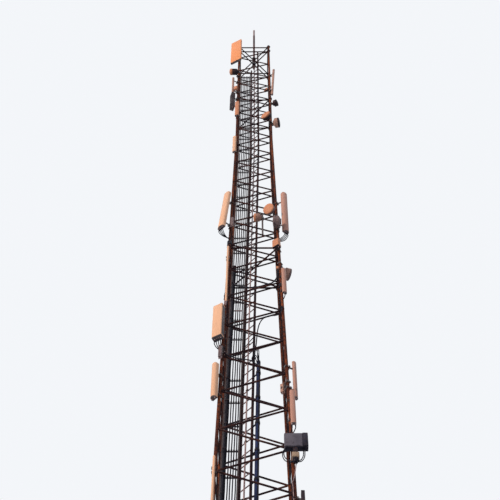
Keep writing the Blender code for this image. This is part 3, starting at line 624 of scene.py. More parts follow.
def build_feeders(settings):
    """Feeder cables in saddle clips, a little uneven between bars, and the banded bunch at their left."""
    made = Piece("feeders_detail")
    tray_x = -HALF_TOP + LACING_T / 2.0 + 2.0 * GAP + RING_BAR_W + TRAY_W / 2.0
    y = -TRAY_BACK - TRAY_BAR / 2.0 - GAP - FEEDER_R
    left = tray_x - (FEEDER_COUNT - 1) * FEEDER_STEP / 2.0
    bars = int((FEEDER_TOP - TRAY_BOTTOM) / TRAY_STEP)
    for i in range(FEEDER_COUNT):
        x = left + i * FEEDER_STEP
        heights = [FEEDER_BOTTOM]
        for k in range(bars):
            heights += [TRAY_BOTTOM + (k + 0.5) * TRAY_STEP, TRAY_BOTTOM + (k + 1.0) * TRAY_STEP]
        heights = [z for z in heights if z < FEEDER_TOP and abs(z - KNEE) > KNEE_CLEAR]
        points = []
        for k, z in enumerate(sorted(heights + [KNEE, FEEDER_TOP])):
            sway = settings.feeder_sway * math.sin(2.3 * k + 1.7 * i) if k % 2 == 0 else 0.0
            points.append(leaning(x + sway, y, z))
        made.add(pipe(points, FEEDER_R, 12), "sheath")
        for k in range(bars):
            z = TRAY_BOTTOM + (k + 0.5) * TRAY_STEP
            made.add(slab(SADDLE), "shroud", Matrix.Translation(leaning(x, y - FEEDER_R + 0.002, z)))
            made.bolt(leaning(x, y - FEEDER_R - 0.004, z), FRONT, 0.004)
    for shift, depth in BUNCH_PLACES:
        spots = [leaning(left + shift, y - depth, z) for z in (FEEDER_BOTTOM, settings.bunch_top)]
        made.add(pipe(spots, BUNCH_R, 12), "sheath")
    z = TRAY_BOTTOM + 0.5 * TRAY_STEP
    while z < settings.bunch_top:
        made.add(slab(BUNCH_BAND, 0.006), "shroud",
                 Matrix.Translation(leaning(left + BUNCH_MIDDLE[0], y - BUNCH_MIDDLE[1], z)))
        z += TRAY_STEP
    z = TRAY_BOTTOM + TRAY_STEP
    while z + HANGER[1] < FEEDER_TOP:
        made.add(slab(((FEEDER_COUNT - 1) * FEEDER_STEP + FEEDER_R, *HANGER)), "galvanised_with_painted_sunlight",
                 Matrix.Translation(leaning(tray_x, y, z)))
        z += HANGER_BAYS * TRAY_STEP
    made.place("feeder_cables")


# Loops at the bundle's top: how far each goes sideways, up and out
BUNDLE_LOOPS = ((-0.10, 0.30, 0.05), (-0.02, 0.36, 0.09), (0.06, 0.26, 0.12))
BAND_H = 0.072
BAND_PROUD = 0.012


def build_bundle(settings):
    """Wrapped cable bundle with its bands and stand-off clamps, and three loops at its top."""
    made = Piece("bundle_detail")
    along = LADDER_W / 2.0 + BUNDLE_SIDE
    toward = BUNDLE_R - STILE_D / 2.0
    count = int((BUNDLE_TOP - FEEDER_BOTTOM) / settings.bundle_step)
    points = []
    for i in range(count + 1):
        points.append(on_ladder(along, toward, FEEDER_BOTTOM + (BUNDLE_TOP - FEEDER_BOTTOM) * i / count))
    made.add(pipe(points, BUNDLE_R - 0.004, 20), "bundle_wrap")
    for k in range(STRAND_COUNT):
        shift = around(2.0 * math.pi * k / STRAND_COUNT) * (BUNDLE_R - 0.008)
        strand = [on_ladder(along + shift.x, toward + shift.y, point.z) for point in points]
        made.add(pipe(strand, STRAND_R, 8), "bundle_wrap" if k % 3 else "sheath")
    reach = BUNDLE_SIDE - STILE_W / 2.0
    for i in range(int((BUNDLE_TOP - LADDER_BOTTOM) / CLAMP_STEP)):
        z = BUNDLE_TOP - (i + 0.5) * CLAMP_STEP
        made.add(collar(BUNDLE_R + BAND_PROUD, BAND_H, 0.003, 0.006), "sheath",
                 Matrix.Translation(on_ladder(along, toward, z)))
        arm = Matrix.Translation(on_ladder(along - reach / 2.0, toward, z))
        made.add(slab((reach, 0.014, 0.045)), "sheath", arm @ Matrix.Rotation(LADDER_TURN, 4, "Z"))
        made.bolt(on_ladder(along - reach * 0.6, toward + 0.007, z), TOWARD, 0.006)
    for k, (side, rise, out) in enumerate(BUNDLE_LOOPS):
        loop = [on_ladder(along + 0.012 * (k - 1), toward, BUNDLE_TOP - 0.10),
                on_ladder(along + side * 0.3, toward + 0.01, BUNDLE_TOP + rise * 0.5),
                on_ladder(along + side, toward + out * 0.5, BUNDLE_TOP + rise),
                on_ladder(along + side * 1.4, toward + out, BUNDLE_TOP + rise * 0.6),
                on_ladder(along + side * 0.8, toward + out * 0.6, BUNDLE_TOP + 0.02),
                on_ladder(along, toward, BUNDLE_TOP - 0.16)]
        made.add(pipe(smooth_path(loop), LOOP_R, 8), "sheath")
    made.place("cable_bundle")


# Mast fittings


FLANGE_BOLTS_R = 0.042
FOOT_BOLTS_R = 0.062
FRAME_BOLTS_R = 0.051
HUB_BOLTS = (0.13, 0.092)
LEG_CLAMP_R = 0.053
ROD_CLAMP_R = 0.057
ROD_CLAMP_H = 0.100


def build_fittings(settings):
    """Flange, anchor and hub bolts, and the clamps on the top frames, two legs and the lightning mast."""
    made = Piece("mast_hardware")
    radius = settings.bolt_radius
    big = radius * 1.6
    for leg in LEGS:
        for height in ring_heights():
            for k in range(6):
                out = around(math.pi * k / 3.0) * FLANGE_BOLTS_R
                made.bolt(on_leg(leg, height + RING_H / 2.0 + GAP + FLANGE_H) + out, UP, radius)
                made.bolt(on_leg(leg, height - RING_H / 2.0) + out, DOWN, radius)
        for k in range(4):
            out = around(math.pi * (k + 0.5) / 2.0) * FOOT_BOLTS_R
            made.bolt(on_leg(leg, PAD_TOP + GAP + FOOT_H) + out, UP, big)
        for height in TOP_FRAMES:
            for k in range(4):
                way = around(math.pi * k / 2.0)
                made.bolt(on_leg(leg, height) + way * FRAME_BOLTS_R, way, radius)
    for leg, height, tall in LEG_CLAMPS:
        made.add(collar(LEG_CLAMP_R, tall, 0.005, 0.008), "sheath", Matrix.Translation(on_leg(leg, height)))
        for side in (-1.0, 1.0):
            made.bolt(on_leg(leg, height + side * tall * 0.3) + FRONT * LEG_CLAMP_R, FRONT, radius)
    for height in ROD_CLAMPS:
        made.add(collar(ROD_CLAMP_R, ROD_CLAMP_H, 0.004, 0.008), "sheath", Matrix.Translation(UP * height))
        for k in range(4):
            way = around(math.pi * (k + 0.5) / 2.0)
            made.bolt(UP * height + way * (ROD_CLAMP_R - 0.001), way, radius)
    for k in range(6):
        made.bolt(UP * HUB_BOLTS[1] + around(math.pi * k / 3.0) * HUB_BOLTS[0], UP, big)
    made.place()


# Equipment


def centre_of(name):
    leg, across, along, level = EQUIPMENT[name][1:5]
    z = level * MAST_TOP
    return on_leg(leg, z) + Vector((across * REACH, along * REACH, 0.0))


def bowed(depth, width, steps=14):
    """Outline of a radome: flat back with rounded corners and a bowed front."""
    loop = [(-depth / 2.0, -width / 2.0 + 0.006), (-depth / 2.0 + 0.004, -width / 2.0)]
    for i in range(1, steps):
        angle = math.radians(-90.0 + 180.0 * i / steps)
        loop.append((math.cos(angle) * depth / 2.0, math.sin(angle) * width / 2.0))
    return loop + [(-depth / 2.0 + 0.004, width / 2.0), (-depth / 2.0, width / 2.0 - 0.006)]


def boxed(depth, width, corner):
    """Rectangle whose corners are rounded."""
    loop = []
    for sx, sy, first in ((1, -1, -90.0), (1, 1, 0.0), (-1, 1, 90.0), (-1, -1, 180.0)):
        for i in range(4):
            angle = math.radians(first + 30.0 * i)
            loop.append((sx * (depth / 2.0 - corner) + math.cos(angle) * corner,
                         sy * (width / 2.0 - corner) + math.sin(angle) * corner))
    return loop


def finned(depth, width, fins=9):
    """Outline of a case with upright cooling fins on its front."""
    case = depth / 2.0 - 0.030
    pitch = width / (2 * fins - 1)
    loop = [(-depth / 2.0, width / 2.0), (-depth / 2.0, -width / 2.0)]
    for i in range(fins):
        y = -width / 2.0 + 2.0 * i * pitch
        loop += [(depth / 2.0, y), (depth / 2.0, y + pitch)]
        if i < fins - 1:
            loop += [(case, y + pitch), (case, y + 2.0 * pitch)]
    return loop[::-1]


SEAT_BACK_T = 0.009
SEAT_BACK_OFF = 0.005
SEAT_OVER = 0.014
LEG_CLEAR = 0.001
U_BOLT_HEIGHTS = (-0.013, 0.013)
U_BOLT_OUT = LEG_R + 0.006
U_BOLT_TAIL = 0.018
END_PLATE = (0.026, 0.075, 0.060)
END_PLATE_IN = 0.008


def add_arm(made, leg, end, z):
    """Round arm with a seat plate and two U-bolts round the leg."""
    start = on_leg(leg, z)
    end = Vector((end.x, end.y, z))
    run = (end - start).normalized()
    side = Vector((-run.y, run.x, 0.0))
    surface = LEG_R + LEG_CLEAR
    turn = Matrix.Rotation(math.atan2(run.y, run.x), 4, "Z")
    for place, thick in ((surface + SEAT_T / 2.0, SEAT_T), (-surface - SEAT_BACK_OFF, SEAT_BACK_T)):
        made.add(slab((thick, SEAT_W + SEAT_OVER, SEAT_H)), "dark_steel",
                 Matrix.Translation(start + run * place) @ turn)
    tail = run * (surface + SEAT_T + U_BOLT_TAIL)
    for height in U_BOLT_HEIGHTS:
        base = start + UP * height
        path = [base + tail + side * U_BOLT_OUT]
        for k in range(9):
            angle = math.radians(90.0 + 22.5 * k)
            path.append(base + (run * math.cos(angle) + side * math.sin(angle)) * U_BOLT_OUT)
        path.append(base + tail - side * U_BOLT_OUT)
        made.add(pipe(path, U_BOLT_R, 6), "bolt_steel")
        for way in (-1.0, 1.0):
            made.bolt(base + run * (surface + SEAT_T) + side * U_BOLT_OUT * way, run, 0.007)
    made.add(pipe([start + run * surface, end], ARM_R, 14), "dark_steel")
    made.add(slab(END_PLATE, 0.004), "dark_steel", Matrix.Translation(end - run * END_PLATE_IN) @ turn)


JUMPERS = ("long_panel_left", "long_panel_right", "broad_panel_left", "slim_panel_right",
           "lower_panel_right")
PORT_PROFILE = ((0.0, 0.004), (0.014, 0.004), (0.014, -0.010), (0.011, -0.014), (0.011, -0.034),
                (0.0, -0.034))
BOOT_PROFILE = ((0.0, -0.030), (0.0115, -0.030), (0.0125, -0.050), (0.009, -0.074), (0.0, -0.074))
PORT_SPREAD = 0.62
JUMPER_START = 0.060
JUMPER_CLIP = (0.020, 0.092, 0.026)
JUMPER_OFF = LEG_R + 0.012
CLIP_DROP = 0.10


def add_ports(made, place, low, count, width, leg, sag):
    """Connectors under a body; with a sag, each has a jumper that ends at or near a clip on the leg."""
    foot = on_leg(leg, (place @ Vector((0.0, 0.0, low))).z - CLIP_DROP)
    inward = Vector((-LEGS[leg][0], -LEGS[leg][1], 0.0)).normalized()
    for i in range(count):
        y = (i - (count - 1) / 2.0) * width * PORT_SPREAD / max(count - 1, 1)
        top = place @ Vector((0.0, y, low))
        made.add(lathe(PORT_PROFILE, 12), "galvanised_with_painted_sunlight", Matrix.Translation(top))
        if sag <= 0.0:
            continue
        made.add(lathe(BOOT_PROFILE, 12), "sheath", Matrix.Translation(top))
        start = top + DOWN * JUMPER_START
        end = foot + inward * JUMPER_OFF + DOWN * JUMPER_STEP * i
        across = end - start
        path = [start, start + DOWN * sag * 0.7, start + across * 0.25 + DOWN * sag * (1.25 + 0.12 * i),
                start + across * 0.62 + DOWN * sag * (1.15 + 0.10 * i), end + DOWN * 0.05, end,
                end - DOWN * JUMPER_STUB]
        made.add(pipe(smooth_path(path), JUMPER_R, 8), "sheath")
    if sag > 0.0 and count:
        turn = Matrix.Rotation(math.atan2(inward.y, inward.x), 4, "Z")
        made.add(slab(JUMPER_CLIP), "shroud", Matrix.Translation(foot + inward * JUMPER_OFF) @ turn)


def body_shapes(kind, size, wide, main, second):
    """Shapes of one body about its own centre, with its caps, seams and trim, its foot and its width."""
    depth, width, height = SIZES[kind]
    width *= wide
    height *= size
    low = -height / 2.0
    shapes = []
    if kind in ("sector", "slim"):
        cap = 0.016 if kind == "sector" else 0.012
        shapes.append((prism(bowed(depth, width), height - 2.0 * cap, 0.002), main, (0.0, 0.0, 0.0)))
        for side, look in ((-1.0, second), (1.0, main)):
            shapes.append((prism(bowed(depth, width), cap, cap * 0.42), look,
                           (0.0, 0.0, side * (height - cap) / 2.0)))
        shapes.append((slab((0.010, width * 0.5, height * 0.94)), second, (-depth / 2.0 + 0.001, 0.0, 0.0)))
    elif kind in ("flat", "broad", "case"):
        corner = min(0.022, depth * 0.25)
        shapes.append((prism(boxed(depth, width, corner), height - 0.028, 0.002), main, (0.0, 0.0, 0.0)))
        for side, look in ((-1.0, second), (1.0, main)):
            shapes.append((prism(boxed(depth - 0.002, width - 0.002, corner), 0.014, 0.005), look,
                           (0.0, 0.0, side * (height / 2.0 - 0.007))))
        if kind != "flat":
            for i in range(7):
                shapes.append((slab((0.012, width * 0.045, height * 0.86), 0.002), second,
                               (-depth / 2.0 + 0.001, (i - 3.0) * width * 0.12, 0.0)))
        if kind == "broad":
            shapes.append((slab((depth * 0.74, 0.006, height * 0.90), 0.002), second,
                           (0.0, width / 2.0, 0.0)))
    elif kind == "unit":
        shapes.append((prism(finned(depth, width), height - 0.03, 0.001), main, (0.0, 0.0, 0.0)))
        for side in (-1.0, 1.0):
            shapes.append((slab((depth, width, 0.018), 0.004), second,
                           (0.0, 0.0, side * (height / 2.0 - 0.009))))
    elif kind == "box":
        shapes.append((slab((depth - 0.008, width, height), 0.006), main, (-0.004, 0.0, 0.0)))
        shapes.append((slab((0.012, width - 0.004, height - 0.006)), main, (depth / 2.0 - 0.006, 0.0, 0.0)))
        for y in (-1.0, 1.0):
            for z in (-1.0, 1.0):
                shapes.append((puck(0.004, -0.004, 0.004, 8), "bolt_steel",
                               (depth / 2.0 - 0.004, y * width * 0.36, z * height * 0.42)))
    elif kind == "omni":
        radius = SIZES[kind][0]
        shapes.append((lathe([(0.0, low + 0.10), (radius, low + 0.10), (radius, -low - 0.03),
                              (radius * 0.7, -low - 0.008), (0.0, -low)], 16), main, (0.0, 0.0, 0.0)))
        shapes.append((lathe([(0.0, low), (radius * 0.8, low), (radius, low + 0.01), (radius, low + 0.10),
                              (0.0, low + 0.10)], 16), "galvanised_with_painted_sunlight", (0.0, 0.0, 0.0)))
    return shapes, low, width


def add_drum(made, place, size, wide, main, second):
    """Shrouded dish: cover with a rolled rim, drum, cone and radio behind it."""
    radius = SIZES["drum"][1] * wide
    length = SIZES["drum"][2] * size
    turn = place @ Matrix.Rotation(math.radians(90.0), 4, "Y")
    dome = length * 0.12
    front = length / 2.0 - dome
    rim = length * 0.16
    inner = radius * 0.975
    made.add(lathe([(0.0, front + dome), (radius * 0.35, front + dome * 0.92),
                    (radius * 0.65, front + dome * 0.68), (radius * 0.9, front + dome * 0.28),
                    (radius * 0.985, front), (0.0, front - 0.004)], 32), main, turn)
    made.add(lathe([(0.0, front), (radius * 0.97, front), (radius, front - 0.004), (radius, front - rim),
                    (inner, front - rim - 0.003), (0.0, front - rim - 0.003)], 32), main, turn)
    made.add(lathe([(0.0, front - rim), (inner, front - rim), (inner, -length / 5.0),
                    (radius * 0.92, -length / 4.0), (radius * 0.5, -length * 0.42),
                    (radius * 0.5, -length / 2.0), (0.0, -length / 2.0)], 32), second, turn)
    middle = Vector((0.0, 0.0, front - rim - 0.012))
    for k in range(8):
        point = turn @ (around(math.pi * k / 4.0) * inner + middle)
        made.bolt(point, point - turn @ middle, 0.005)
    made.add(slab((radius * 0.72, radius * 0.72, length * 0.18), 0.005), "casting",
             turn @ Matrix.Translation((0.0, 0.0, -length * 0.44)))


DOOR_SHARE = 0.735
DOOR_PLACE_SHARE = -0.115
# Share of the width on the right-hand side that is painted shade
PAINTED_SHADE_SHARE = 0.235


def add_cabinet(made, place):
    """Cabinet: housing, door with a seam, and a right-hand side and gland plate both dark with painted
    shade.
    """
    depth, width, height = SIZES["cabinet"]
    made.add(prism(boxed(depth - 0.010, width, 0.016), height, 0.008), "cabinet",
             place @ Matrix.Translation((-0.005, 0.0, 0.0)))
    made.add(slab((0.014, width * DOOR_SHARE, height - 0.026), 0.004), "cabinet",
             place @ Matrix.Translation((depth / 2.0 - 0.009, width * DOOR_PLACE_SHARE, 0.0)))
    # Dark strip down the right-hand side and dark plate underneath: painted shade
    made.add(slab((depth + 0.004, width * PAINTED_SHADE_SHARE, height + 0.002), 0.012), "cabinet_dark",
             place @ Matrix.Translation((0.0, width * (1.0 - PAINTED_SHADE_SHARE) / 2.0, 0.0)))
    made.add(slab((depth * 0.8, width * 0.9, 0.010), 0.003), "cabinet_dark",
             place @ Matrix.Translation((0.0, 0.0, -height / 2.0 - 0.001)))


# Post that carries drum_inner_left: share of the drum's reach, how far it goes down and up, radius
POST_SHARE = 0.75
POST_DOWN = 0.75
POST_UP = 0.19
POST_R = 0.020
ARM_SHARE = 0.30
SHORT_SAG = 0.06


def build_equipment(settings):
    """Each antenna, radio, drum and box, with its arms, clamps, connectors and jumpers."""
    for name, row in EQUIPMENT.items():
        kind, leg, across, along = row[:4]
        size, wide, facing, lean, ports, main, second = row[5:]
        made = Piece(name + "_detail")
        centre = centre_of(name)
        place = (Matrix.Translation(centre) @ Matrix.Rotation(math.radians(facing), 4, "Z")
                 @ Matrix.Rotation(math.radians(lean), 4, "Y"))
        height = SIZES[kind][2] * size
        if kind == "drum":
            add_drum(made, place, size, wide, main, second)
            height = 0.0
        elif kind == "cabinet":
            add_cabinet(made, place)
        else:
            shapes, low, width = body_shapes(kind, size, wide, main, second)
            for edit, look, shift in shapes:
                turn = Matrix.Rotation(math.radians(90.0 if look == "bolt_steel" else 0.0), 4, "Y")
                made.add(edit, look, place @ Matrix.Translation(shift) @ turn)
            sag = settings.jumper_sag if ports > 2 else SHORT_SAG
            add_ports(made, place, low, ports, width, leg, sag if name in JUMPERS else 0.0)
        axis = place.to_3x3() @ UP
        for side in (-1.0, 1.0) if height > TWO_ARMS_OVER else (0.0,):
            z = clear_height(leg, centre.z + side * ARM_SHARE * height, side if side else 1.0)
            add_arm(made, leg, centre + axis * ((z - centre.z) / axis.z) if side else centre, z)
        if name == "drum_inner_left":
            foot = on_leg(leg, centre.z) + Vector((across, along, 0.0)) * REACH * POST_SHARE
            made.add(pipe([foot + DOWN * POST_DOWN, foot + UP * POST_UP], POST_R, 16), "dark_steel")
            made.add(slab((0.070, 0.060, 0.070), 0.005), "dark_steel", Matrix.Translation(foot))
        made.place(name)


# The gland under the cabinet, with its drops from the cabinet's underside. The loops' places are
# across from the cabinet's centre and down from its underside
GLAND_SIDE = -0.020
GLAND_DROP = 0.345
GLAND_NECK = (0.084, 0.080, 0.150)
GLAND_BOX = (0.124, 0.110, 0.118)
GLAND_LID = (0.108, 0.006, 0.096)
NECK_DROP = 0.072
BOX_DROP = 0.201
LID_OFF = 0.056
PLUG_R = 0.048
PLUG_PROFILE = ((0.0, -0.255), (0.046, -0.255), (PLUG_R, -0.262), (PLUG_R, -0.308), (0.042, -0.325),
                (0.038, -GLAND_DROP), (0.0, -GLAND_DROP))
PLUG_RIB = (0.008, 0.012, 0.040)
PLUG_RIB_COUNT = 10
RIB_DROP = 0.285
LOOP_END_DROP = 0.318
GLAND_LOOPS = (
    ((-0.185, 0.010), (-0.225, -0.080), (-0.231, -0.210), (-0.190, -0.310), (-0.115, -0.345)),
    ((-0.160, 0.010), (-0.205, -0.080), (-0.208, -0.180), (-0.168, -0.270), (-0.100, -0.315)),
    ((0.135, 0.010), (0.137, -0.110), (0.125, -0.220), (0.085, -0.305), (0.035, -0.335)),
    ((0.110, 0.010), (0.114, -0.090), (0.106, -0.185), (0.078, -0.265), (0.035, -0.308)),
)


def build_gland():
    """Cream connection box under the cabinet, the dark plug below it and the loops beside it."""
    made = Piece("gland_detail")
    hub = centre_of("cabinet_right")
    top = hub.z - SIZES["cabinet"][2] / 2.0 - GAP
    middle = Vector((hub.x + GLAND_SIDE, hub.y, top))
    made.add(slab(GLAND_NECK, 0.006), "shroud", Matrix.Translation(middle + DOWN * NECK_DROP))
    made.add(slab(GLAND_BOX, 0.008), "cream", Matrix.Translation(middle + DOWN * BOX_DROP))
    made.add(slab(GLAND_LID, 0.002), "cream", Matrix.Translation(middle + DOWN * BOX_DROP + FRONT * LID_OFF))
    made.add(lathe(PLUG_PROFILE, 24), "sheath", Matrix.Translation(middle))
    for k in range(PLUG_RIB_COUNT):
        out = around(2.0 * math.pi * k / PLUG_RIB_COUNT) * PLUG_R
        made.add(slab(PLUG_RIB, 0.002), "shroud", Matrix.Translation(middle + DOWN * RIB_DROP + out))
    for places in GLAND_LOOPS:
        loop = [Vector((hub.x + x, hub.y, top + z)) for x, z in places] + [middle + DOWN * LOOP_END_DROP]
        made.add(pipe(smooth_path(loop), LOOP_R, 8), "sheath")
    made.place("cabinet_gland")


CLIP_H = 0.020
CLIP_BAND = 0.003
SADDLE_SIZE = (0.036, 0.034, CLIP_H)


def clip_to_leg(made, leg, shift, z):
    """Band round a leg with a saddle that holds a cable at its side."""
    spot = on_leg(leg, z)
    made.add(puck(LEG_R + CLIP_BAND, -CLIP_H / 2.0, CLIP_H / 2.0, 16), "shroud", Matrix.Translation(spot))
    turn = Matrix.Rotation(math.atan2(shift[1], shift[0]), 4, "Z")
    made.add(slab(SADDLE_SIZE, 0.004), "shroud", Matrix.Translation(spot + Vector(shift)) @ turn)


# Cables that cross the mast: radius, the first end's clip (leg, shift from its axis, height) and the
# points. Where a cable shows they follow the photograph at a guessed depth, and elsewhere are guessed
CROSSINGS = {
    "crossing_cable_upper": (0.0140, (RIGHT, (-0.054, -0.036, 0.0), 22.30),
                             ((0.500, -0.600, 22.50), (0.503, -0.604, 22.29), (0.468, -0.606, 22.08),
                              (0.385, -0.604, 21.92), (0.255, -0.596, 21.86), (0.110, -0.490, 21.95),
                              (-0.085, -0.330, 22.17), (-0.280, -0.165, 22.47), (-0.410, -0.050, 22.72),
                              (-0.455, -0.006, 22.95))),
    "crossing_cable_middle": (0.0120, (RIGHT, (-0.022, -0.044, 0.0), 20.94),
                              ((0.562, -0.628, 20.94), (0.556, -0.630, 20.80), (0.515, -0.628, 20.69),
                               (0.430, -0.618, 20.645), (0.300, -0.600, 20.645), (0.185, -0.545, 20.64),
                               (0.108, -0.440, 20.60), (0.066, -0.300, 20.50), (0.045, -0.170, 20.30))),
    "crossing_cable_lower": (0.0120, (LEFT, (0.020, -0.044, 0.0), 19.48),
                             ((-0.584, -0.648, 19.48), (-0.568, -0.648, 19.30), (-0.350, -0.636, 19.15),
                              (-0.075, -0.624, 19.09), (0.050, -0.450, 19.20), (0.100, -0.280, 19.42))),
}
CABINET_CABLES = (((-0.030, -0.034, 0.0), "galvanised_with_painted_sunlight"), ((-0.046, 0.004, 0.0), "sheath"))
CABINET_CABLE_FOOT = 0.40
CABINET_CLIP_FROM = 0.95
JOINT_BELOW = 0.42
# Ends of the bracket behind the ladder, as places along, off and up
BRACKET_ENDS = ((LADDER_W / 2.0 + 0.010, -0.034, 20.80), (-LADDER_W / 2.0 - 0.080, -0.034, 20.65))
# Heights of the middle cable's holder and last two points, and of the lower cable's end
HOLDER_HEIGHTS = (19.95, 19.99)
MIDDLE_ENDS = (20.05, BUNDLE_TOP + 0.05)
LOWER_END = BUNDLE_TOP - 0.06
# The small box at the upper cable's first end, and its bracket
END_BOX = (0.050, 0.044, 0.095)
END_BOX_ARM = (0.090, 0.012, 0.040)


def build_cables():
    """Cables that cross the mast, the two that run down from the cabinet, and a ladder bracket."""
    for name, (radius, clip, points) in CROSSINGS.items():
        made = Piece(name)
        path = [Vector(point) for point in points]
        if name == "crossing_cable_middle":
            side = LADDER_W / 2.0 + STILE_W / 2.0 + radius
            path += [on_ladder(side, 0.0, z) for z in MIDDLE_ENDS]
            ends = [on_ladder(side - 0.02, 0.0, z) for z in HOLDER_HEIGHTS]
            made.add(bar(*ends, 0.066, 0.062, LADDER_TURN), "shroud")
        if name == "crossing_cable_upper":
            box = path[0] + UP * 0.030
            made.add(slab(END_BOX, 0.006), "radome_warm", Matrix.Translation(box))
            made.add(slab(END_BOX_ARM), "dark_steel", Matrix.Translation(box + Vector((0.030, 0.024, 0.0))))
        if name == "crossing_cable_lower":
            path.append(on_ladder(LADDER_W / 2.0 + BUNDLE_SIDE, BUNDLE_R - STILE_D / 2.0, LOWER_END))
        made.add(pipe(smooth_path(path), radius, 10), "sheath")
        clip_to_leg(made, *clip)
        made.place()
    foot = centre_of("cabinet_right") + Vector((GLAND_SIDE, 0.0, -SIZES["cabinet"][2] / 2.0 - GLAND_DROP))
    made = Piece("cabinet_cables")
    for shift, look in CABINET_CABLES:
        shift = Vector(shift)
        top = on_leg(RIGHT, foot.z - JOINT_BELOW) + shift
        path = smooth_path([foot + UP * 0.03, foot + DOWN * 0.07, (foot + top) / 2.0 + DOWN * 0.06,
                            top + UP * 0.08, top])
        made.add(pipe(path + [on_leg(RIGHT, CABINET_CABLE_FOOT) + shift], CABINET_CABLE_R, 8), look)
        z = CABINET_CLIP_FROM
        while z < top.z:
            clip_to_leg(made, RIGHT, shift, z)
            z += PITCH
    made.place()
    made = Piece("ladder_bracket")
    made.add(pipe([on_ladder(*end) for end in BRACKET_ENDS], BRACKET_R, 10), "ladder_rust")
    made.place()


# Stage


PALE = (0.90, 0.92, 0.95, 1.0)
SKY_LIGHT = (0.84, 0.90, 1.0, 1.0)
FLOOR_TONE = (0.80, 0.80, 0.82, 1.0)
KEY_TONE = (1.0, 0.84, 0.70)
FILL_TONE = (0.85, 0.90, 1.0)
FILL_TURN = (math.radians(70.0), 0.0, math.radians(35.0))
KEY_WIDTH = math.radians(6.0)
FILL_WIDTH = math.radians(60.0)
SENSOR_WIDTH = 36.0
FAR_END = 900.0


def add_camera(settings):
    """Camera on the ground in front of the mast, looking steeply up."""
    data = bpy.data.cameras.new("camera")
    data.sensor_width = SENSOR_WIDTH
    data.lens = settings.lens
    data.shift_x = settings.shift_x
    data.clip_end = FAR_END
    made = bpy.data.objects.new("camera", data)
    made.location = (0.0, -settings.stand_off, settings.eye_height)
    made.rotation_euler = (math.radians(90.0) + settings.pitch, 0.0, 0.0)
    bpy.context.scene.collection.objects.link(made)
    bpy.context.scene.camera = made


def add_light(name, energy, colour, turn, angle):
    """Sun of one strength, tone, direction and width."""
    data = bpy.data.lights.new(name, "SUN")
    data.energy = energy
    data.color = colour
    data.angle = angle
    made = bpy.data.objects.new(name, data)
    made.rotation_euler = turn
    bpy.context.scene.collection.objects.link(made)


def seen_by_camera(tree):
    """Output that is 1 for camera, glossy and transmission rays."""
    path = add_node(tree, "LightPath")
    shown = path.outputs["Is Camera Ray"]
    for item in ("Is Glossy Ray", "Is Transmission Ray"):
        either = add_node(tree, "Math")
        either.operation = "MAXIMUM"
        tree.links.new(shown, either.inputs[0])
        tree.links.new(path.outputs[item], either.inputs[1])
        shown = either.outputs["Value"]
    return shown


def mixed(tree, share, first, second, sink):
    """Mix of two shaders by a share, led to an input."""
    mix = add_node(tree, "MixShader")
    tree.links.new(share, mix.inputs["Fac"])
    tree.links.new(first, mix.inputs[1])
    tree.links.new(second, mix.inputs[2])
    tree.links.new(mix.outputs["Shader"], sink)


def add_world(settings):
    """Soft pale surroundings: near white to camera, glossy and transmission rays, dimmer as a light."""
    world = bpy.data.worlds.new("soft_world")
    bpy.context.scene.world = world
    world.use_nodes = True
    tree = world.node_tree
    tree.nodes.clear()
    out = add_node(tree, "OutputWorld")
    lit = add_node(tree, "Background", Color=SKY_LIGHT, Strength=settings.sky_strength)
    seen = add_node(tree, "Background", Color=PALE, Strength=1.0)
    mixed(tree, seen_by_camera(tree), lit.outputs["Background"], seen.outputs["Background"],
          out.inputs["Surface"])


def add_floor(settings):
    """Wide pale floor that keeps the tower's shadow."""
    edit = bmesh.new()
    bmesh.ops.create_grid(edit, x_segments=1, y_segments=1, size=settings.floor_size / 2.0)
    data = bpy.data.meshes.new("floor")
    edit.to_mesh(data)
    edit.free()
    pale = bpy.data.materials.new("floor_pale")
    pale.use_nodes = True
    tree = pale.node_tree
    matt = tree.nodes["Principled BSDF"]
    socket(matt, "Base Color", FLOOR_TONE)
    socket(matt, "Roughness", 0.9)
    glow = add_node(tree, "Emission", Color=PALE, Strength=1.0)
    share = add_node(tree, "Math")
    share.operation = "MULTIPLY"
    share.inputs[1].default_value = settings.floor_glow
    tree.links.new(seen_by_camera(tree), share.inputs[0])
    mixed(tree, share.outputs["Value"], matt.outputs["BSDF"], glow.outputs["Emission"],
          tree.nodes["Material Output"].inputs["Surface"])
    data.materials.append(pale)
    made = bpy.data.objects.new("floor", data)
    bpy.context.scene.collection.objects.link(made)


def add_stage(settings):
    """Camera, pale floor, soft surroundings and a broad low key light."""
    add_floor(settings)
    add_world(settings)
    add_light("key", settings.key_strength, KEY_TONE, (settings.key_tilt, 0.0, settings.key_turn), KEY_WIDTH)
    add_light("fill", settings.fill_strength, FILL_TONE, FILL_TURN, FILL_WIDTH)
    add_camera(settings)
    bpy.context.scene.view_settings.view_transform = "Standard"


class TowerDetailSettings(bpy.types.PropertyGroup):
    """Sizes of the fine pieces"""
    rung_radius: bpy.props.FloatProperty(
        name="Rung radius", description="Radius of a ladder rung",
        default=0.0115, min=0.002, unit="LENGTH")
    feeder_sway: bpy.props.FloatProperty(
        name="Feeder sway", description="How far a feeder wanders between bars",
        default=0.004, min=0.0, unit="LENGTH")
    bunch_top: bpy.props.FloatProperty(
        name="Bunch top", description="Height where the bunch on the tray ends",
        default=23.6, min=1.0, unit="LENGTH")
    bundle_step: bpy.props.FloatProperty(
        name="Bundle step", description="Distance between points of the bundle",
        default=0.25, min=0.05, unit="LENGTH")
    bolt_radius: bpy.props.FloatProperty(
        name="Bolt radius", description="Radius of a bolt head",
        default=0.008, min=0.002, unit="LENGTH")
    jumper_sag: bpy.props.FloatProperty(
        name="Jumper sag", description="How deep a jumper hangs below its port",
        default=0.12, min=0.0, unit="LENGTH")


